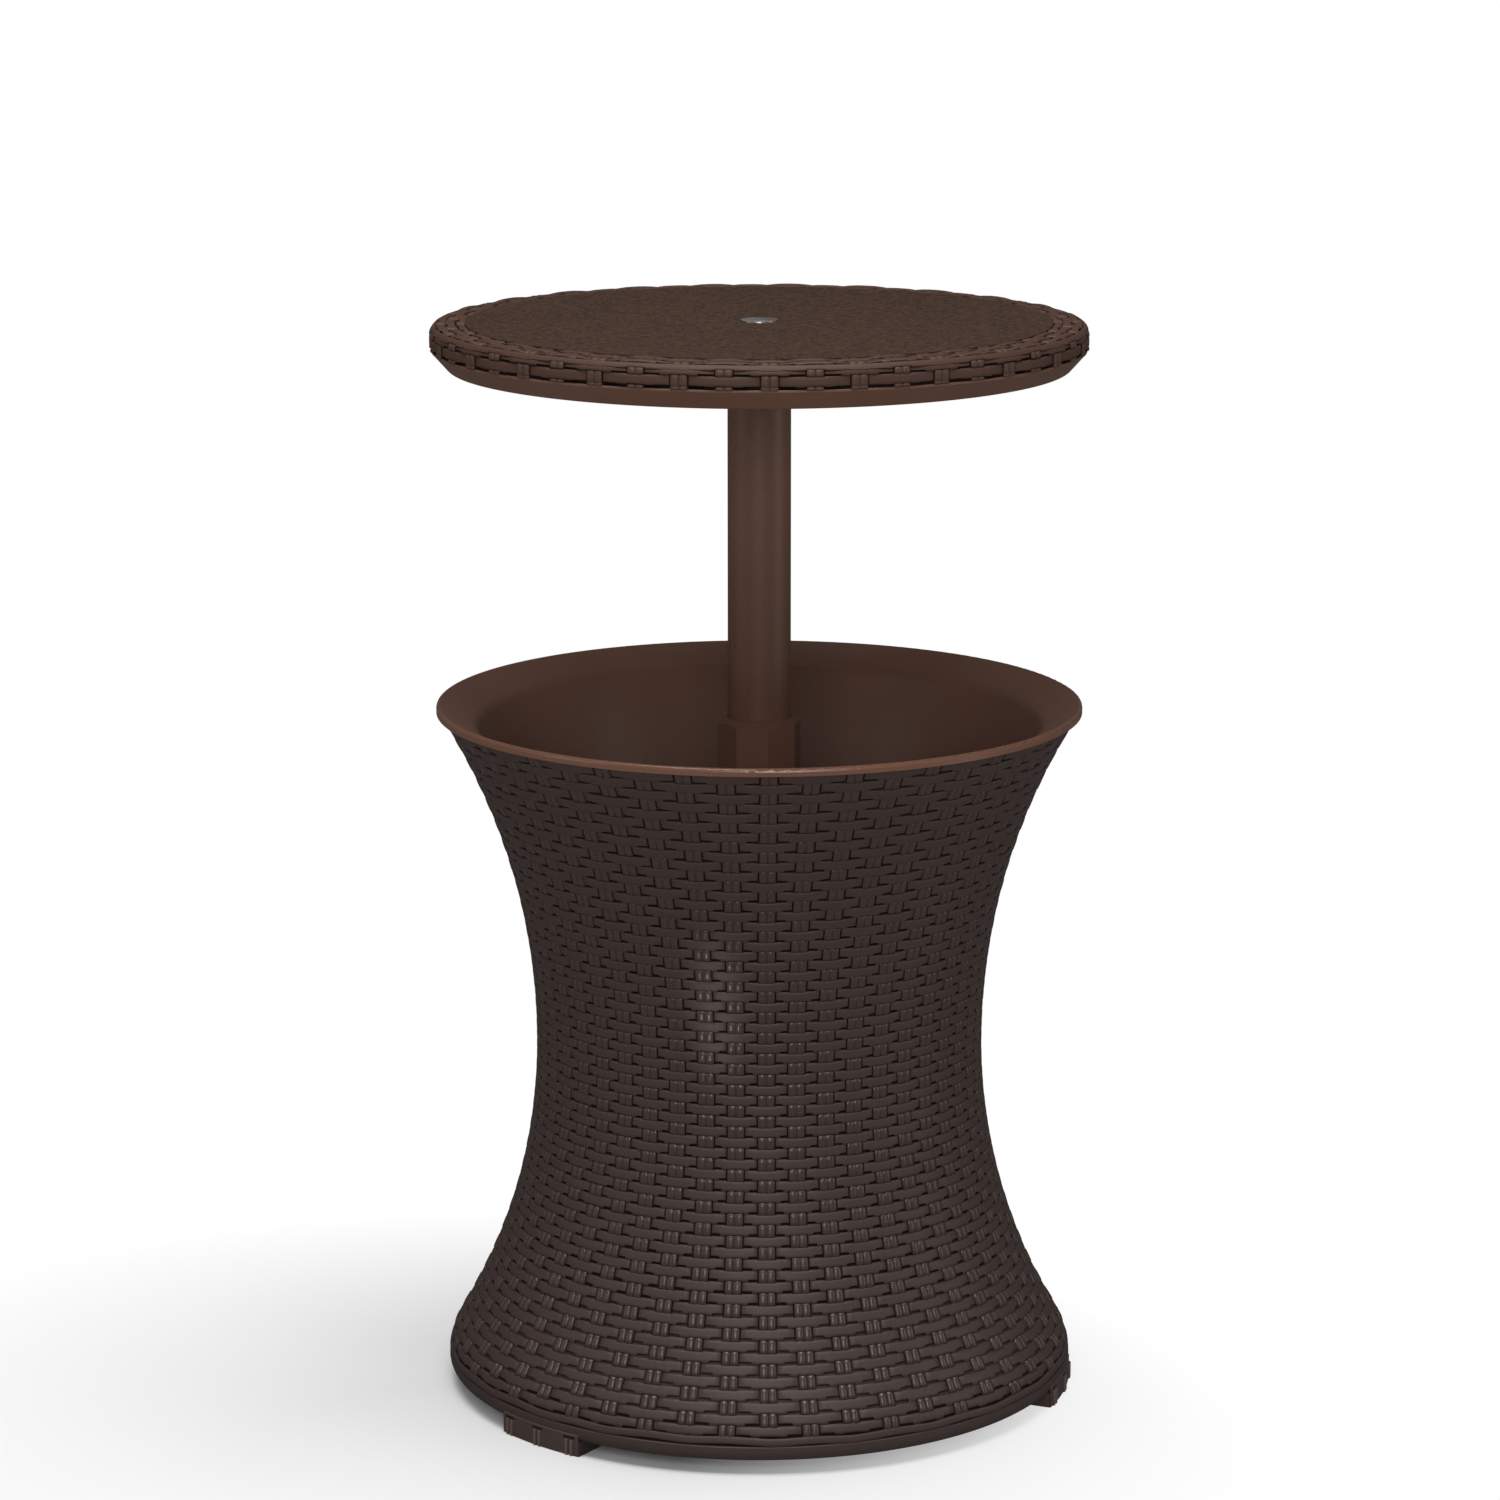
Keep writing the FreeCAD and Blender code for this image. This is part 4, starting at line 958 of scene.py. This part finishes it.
class COOLER_OT_smooth_parts(bpy.types.Operator):
    """Makes the pan under the table top, and the post"""
    bl_idname = "cooler.smooth_parts"
    bl_label = "Smooth parts"
    bl_options = {"REGISTER", "UNDO"}

    PAN_STEPS = 256
    POST_STEPS = 96

    def execute(self, context):
        self.make_pan()
        self.make_post()
        return {"FINISHED"}

    def make_pan(self):
        low, high, hole, wall = PAN_LOW, PAN_HIGH, POST_RADIUS + 0.05, 3.0
        flat, edge = PAN_RADIUS - 14.5, PAN_RADIUS - 0.8
        profile = [(hole, low), (flat, low)]
        profile += arc(profile[-1], (flat + 3.4, low + 1.2), 4.2, 1, 4)
        profile += [(edge, high - 2.3)]
        profile += [(PAN_RADIUS, high - 1.6), (PAN_RADIUS, high - 0.5), (PAN_RADIUS - 0.5, high)]
        profile += [(PAN_RADIUS - wall, high), (PAN_RADIUS - wall, high - wall / 2)]
        profile += [(flat + 1.0, low + wall), (hole, low + wall)]
        turned("pan_shell", profile, self.PAN_STEPS, "table", "smooth_brown", ["table_pan"], "pan_brown")

    def make_post(self):
        low, high, chamfer = POST_LOW, POST_HIGH, 0.4
        bore, edge = POST_RADIUS - 2.2, POST_RADIUS - chamfer
        outside = [(POST_RADIUS, low + chamfer), (POST_RADIUS, high - chamfer)]
        profile = [(bore, low), (edge, low), *outside, (edge, high), (bore, high)]
        turned("post_tube", profile, self.POST_STEPS, "table", "smooth_brown", ["post"])


class COOLER_OT_cad_finishes(bpy.types.Operator):
    """Gives every carried-over CAD node the finish of its slot"""
    bl_idname = "cooler.cad_finishes"
    bl_label = "Finishes of plain parts"
    bl_options = {"REGISTER", "UNDO"}

    def execute(self, context):
        slots = {part["node"]: part["material_slot"] for part in frame["record"]["subparts"]}
        for name, node in NODES.items():
            slot_finish = SLOT_FINISH.get(slots[name], slots[name])
            material = finish(NODE_FINISH.get(name, slot_finish))
            if not node.material_slots:
                raise RuntimeError(f"{name} has no material slot")
            for slot in node.material_slots:
                slot.material = material
        return {"FINISHED"}


class COOLER_OT_stage(bpy.types.Operator):
    """Makes the pale floor, the soft lights and the camera"""
    bl_idname = "cooler.stage"
    bl_label = "Stage"
    bl_options = {"REGISTER", "UNDO"}

    # In metres: half the floor's width, where its shade is deepest, and how far from there a painted
    # white glow fades in over the lamps' shade
    FLOOR_REACH = 14
    SHADE_MIDDLE = (-0.22, -0.2, 0)
    SHADE_FADE = (0.16, 0.6)
    FLOOR_GLOW = 0.03
    # Soft lamps: name, place, width and height in metres, and watts
    LAMPS = [
        ("key", (-0.1, -2.9, 1.5), (1.2, 1.0), 31.0),
        ("left", (-2.4, -1.0, 1.1), (1.0, 1.6), 6.5),
        ("right", (2.4, -0.7, 0.9), (0.8, 1.6), 9.0),
        ("top", (-0.1, -0.42, 2.95), (2.3, 1.7), 75.0),
        ("rim", (0.0, -1.2, 2.6), (1.8, 0.15), 20.0),
    ]
    LAMP_TARGET = (0, 0, 0.45)
    # A small spot that puts the bright streaks on the waist: watts, cone, and its squeeze sideways
    GLINT_PLACE = (-0.108, -0.373, 0.219)
    GLINT_TARGET = (-0.03, -0.169, 0.34)
    GLINT_POWER, GLINT_CONE, GLINT_SQUEEZE = 0.65, 32 * DEGREE, 0.35
    # Brightness of the studio as light, and as seen in reflections
    STUDIO_LIGHT, STUDIO_SHINE = 0.3, 0.08
    # The object stands a little beside the middle of the photograph
    CAMERA_SHIFT = -0.0062

    def execute(self, context):
        self.make_floor()
        self.make_lights()
        self.make_camera()
        return {"FINISHED"}

    def make_floor(self):
        mesh = bmesh.new()
        bmesh.ops.create_grid(mesh, x_segments=2, y_segments=2, size=self.FLOOR_REACH)
        floor = scene_object("floor", mesh_data("floor", mesh))
        floor.data.materials.append(self.floor_material())
        floor.visible_glossy = False

    def floor_material(self):
        """Pale floor with a painted white glow that fades in away from the object, into the white
        backdrop.
        """
        nodes = Nodes("floor", 0.3, 0.35)
        colour = finishes().floor
        mixed = nodes.mix(nodes.skin(1.5), scaled(colour, 0.985), scaled(colour, 1.015))
        values = {"Base Color": mixed, "Emission Color": WHITE, "Emission Strength": self.FLOOR_GLOW}
        nodes.fill(nodes.shader, values)
        # Painted light: a white glow is mixed in further from the shade's middle
        far = nodes.add("VectorMath", operation="DISTANCE")
        nodes.fill(far, {0: nodes.place((1, 1, 1)), 1: self.SHADE_MIDDLE})
        fade = nodes.spread(far.outputs["Value"], *self.SHADE_FADE)
        glow = nodes.fill(nodes.add("Emission"), {"Color": WHITE}).outputs["Emission"]
        blend = nodes.add("MixShader")
        nodes.fill(blend, {"Fac": fade, 1: nodes.shader.outputs["BSDF"], 2: glow})
        nodes.fill(nodes.tree.nodes["Material Output"], {"Surface": blend.outputs["Shader"]})
        return nodes.material

    def make_lights(self):
        scene = bpy.context.scene
        scene.world = self.make_world()
        scene.view_settings.view_transform = "Standard"
        for name, place, (width, height), power in self.LAMPS:
            lamp = bpy.data.lights.new(name, "AREA")
            lamp.shape = "RECTANGLE"
            lamp.size, lamp.size_y = width, height
            lamp.energy = power
            self.hang(lamp, place, self.LAMP_TARGET)
        glint = bpy.data.lights.new("glint", "SPOT")
        glint.energy = self.GLINT_POWER
        glint.spot_size = self.GLINT_CONE
        glint.spot_blend = 1.0
        glint.shadow_soft_size = 0.012
        self.hang(glint, self.GLINT_PLACE, self.GLINT_TARGET, self.GLINT_SQUEEZE)

    def hang(self, lamp, place, target, narrow=1.0):
        """Puts a lamp in its place, turned to its target; narrow squeezes its cone sideways."""
        light = scene_object(lamp.name, lamp)
        light.location = place
        light.scale.x = narrow
        light.visible_camera = False
        light.rotation_euler = (Vector(target) - Vector(place)).to_track_quat("-Z", "Y").to_euler()

    def make_world(self):
        """White where the camera sees it, a soft grey studio for light and a dim one for reflections."""
        world = bpy.data.worlds.new("studio")
        world.use_nodes = True
        nodes = Tree(world.node_tree)
        studio, output = (nodes.tree.nodes[name] for name in ("Background", "World Output"))
        white = nodes.fill(nodes.add("Background"), {"Color": WHITE})
        seen = nodes.add("LightPath").outputs
        change = self.STUDIO_SHINE - self.STUDIO_LIGHT
        strength = nodes.add("Math", operation="MULTIPLY_ADD")
        nodes.fill(strength, {0: seen["Is Glossy Ray"], 1: change, 2: self.STUDIO_LIGHT})
        nodes.fill(studio, {"Color": WHITE, "Strength": strength.outputs["Value"]})
        backgrounds = {1: studio.outputs["Background"], 2: white.outputs["Background"]}
        blend = nodes.fill(nodes.add("MixShader"), {"Fac": seen["Is Camera Ray"], **backgrounds})
        nodes.fill(output, {"Surface": blend.outputs["Shader"]})
        return world

    def make_camera(self):
        stage = bpy.context.scene.cooler_stage
        data = bpy.data.cameras.new("camera")
        data.lens = stage.lens
        data.sensor_width = 36.0
        data.shift_x = self.CAMERA_SHIFT
        camera = scene_object("camera", data)
        camera.location = (0, -stage.distance, stage.height)
        camera.rotation_euler = (math.pi / 2 - stage.pitch, 0, 0)
        bpy.context.scene.camera = camera


class COOLER_PT_panel(bpy.types.Panel):
    """Settings of the cooler table, and the steps that make it"""
    bl_idname = "COOLER_PT_panel"
    bl_label = "Cooler table"
    bl_space_type = "VIEW_3D"
    bl_region_type = "UI"
    bl_category = "Cooler"

    def draw(self, context):
        scene = context.scene
        for group in (scene.cooler_weave, scene.cooler_finishes, scene.cooler_stage):
            box = self.layout.box()
            for name in group.__annotations__:
                box.prop(group, name)
        for operator in OPERATORS:
            self.layout.operator(operator.bl_idname)


GROUPS = {
    "cooler_weave": WeaveSizes,
    "cooler_finishes": Finishes,
    "cooler_stage": StageSizes,
}
OPERATORS = [
    COOLER_OT_woven_body,
    COOLER_OT_woven_border,
    COOLER_OT_foot_faces,
    COOLER_OT_smooth_parts,
    COOLER_OT_cad_finishes,
    COOLER_OT_stage,
]


def register():
    for group in GROUPS.values():
        bpy.utils.register_class(group)
    for operator in OPERATORS:
        bpy.utils.register_class(operator)
    bpy.utils.register_class(COOLER_PT_panel)
    for name, group in GROUPS.items():
        setattr(bpy.types.Scene, name, PointerProperty(type=group))


def unregister():
    for name in GROUPS:
        delattr(bpy.types.Scene, name)
    bpy.utils.unregister_class(COOLER_PT_panel)
    for operator in reversed(OPERATORS):
        bpy.utils.unregister_class(operator)
    for group in reversed(GROUPS.values()):
        bpy.utils.unregister_class(group)


def main():
    register()
    bpy.ops.cooler.cad_finishes()
    bpy.ops.cooler.woven_body()
    bpy.ops.cooler.woven_border()
    bpy.ops.cooler.foot_faces()
    bpy.ops.cooler.smooth_parts()
    bpy.ops.cooler.stage()


if __name__ == "__main__":
    main()
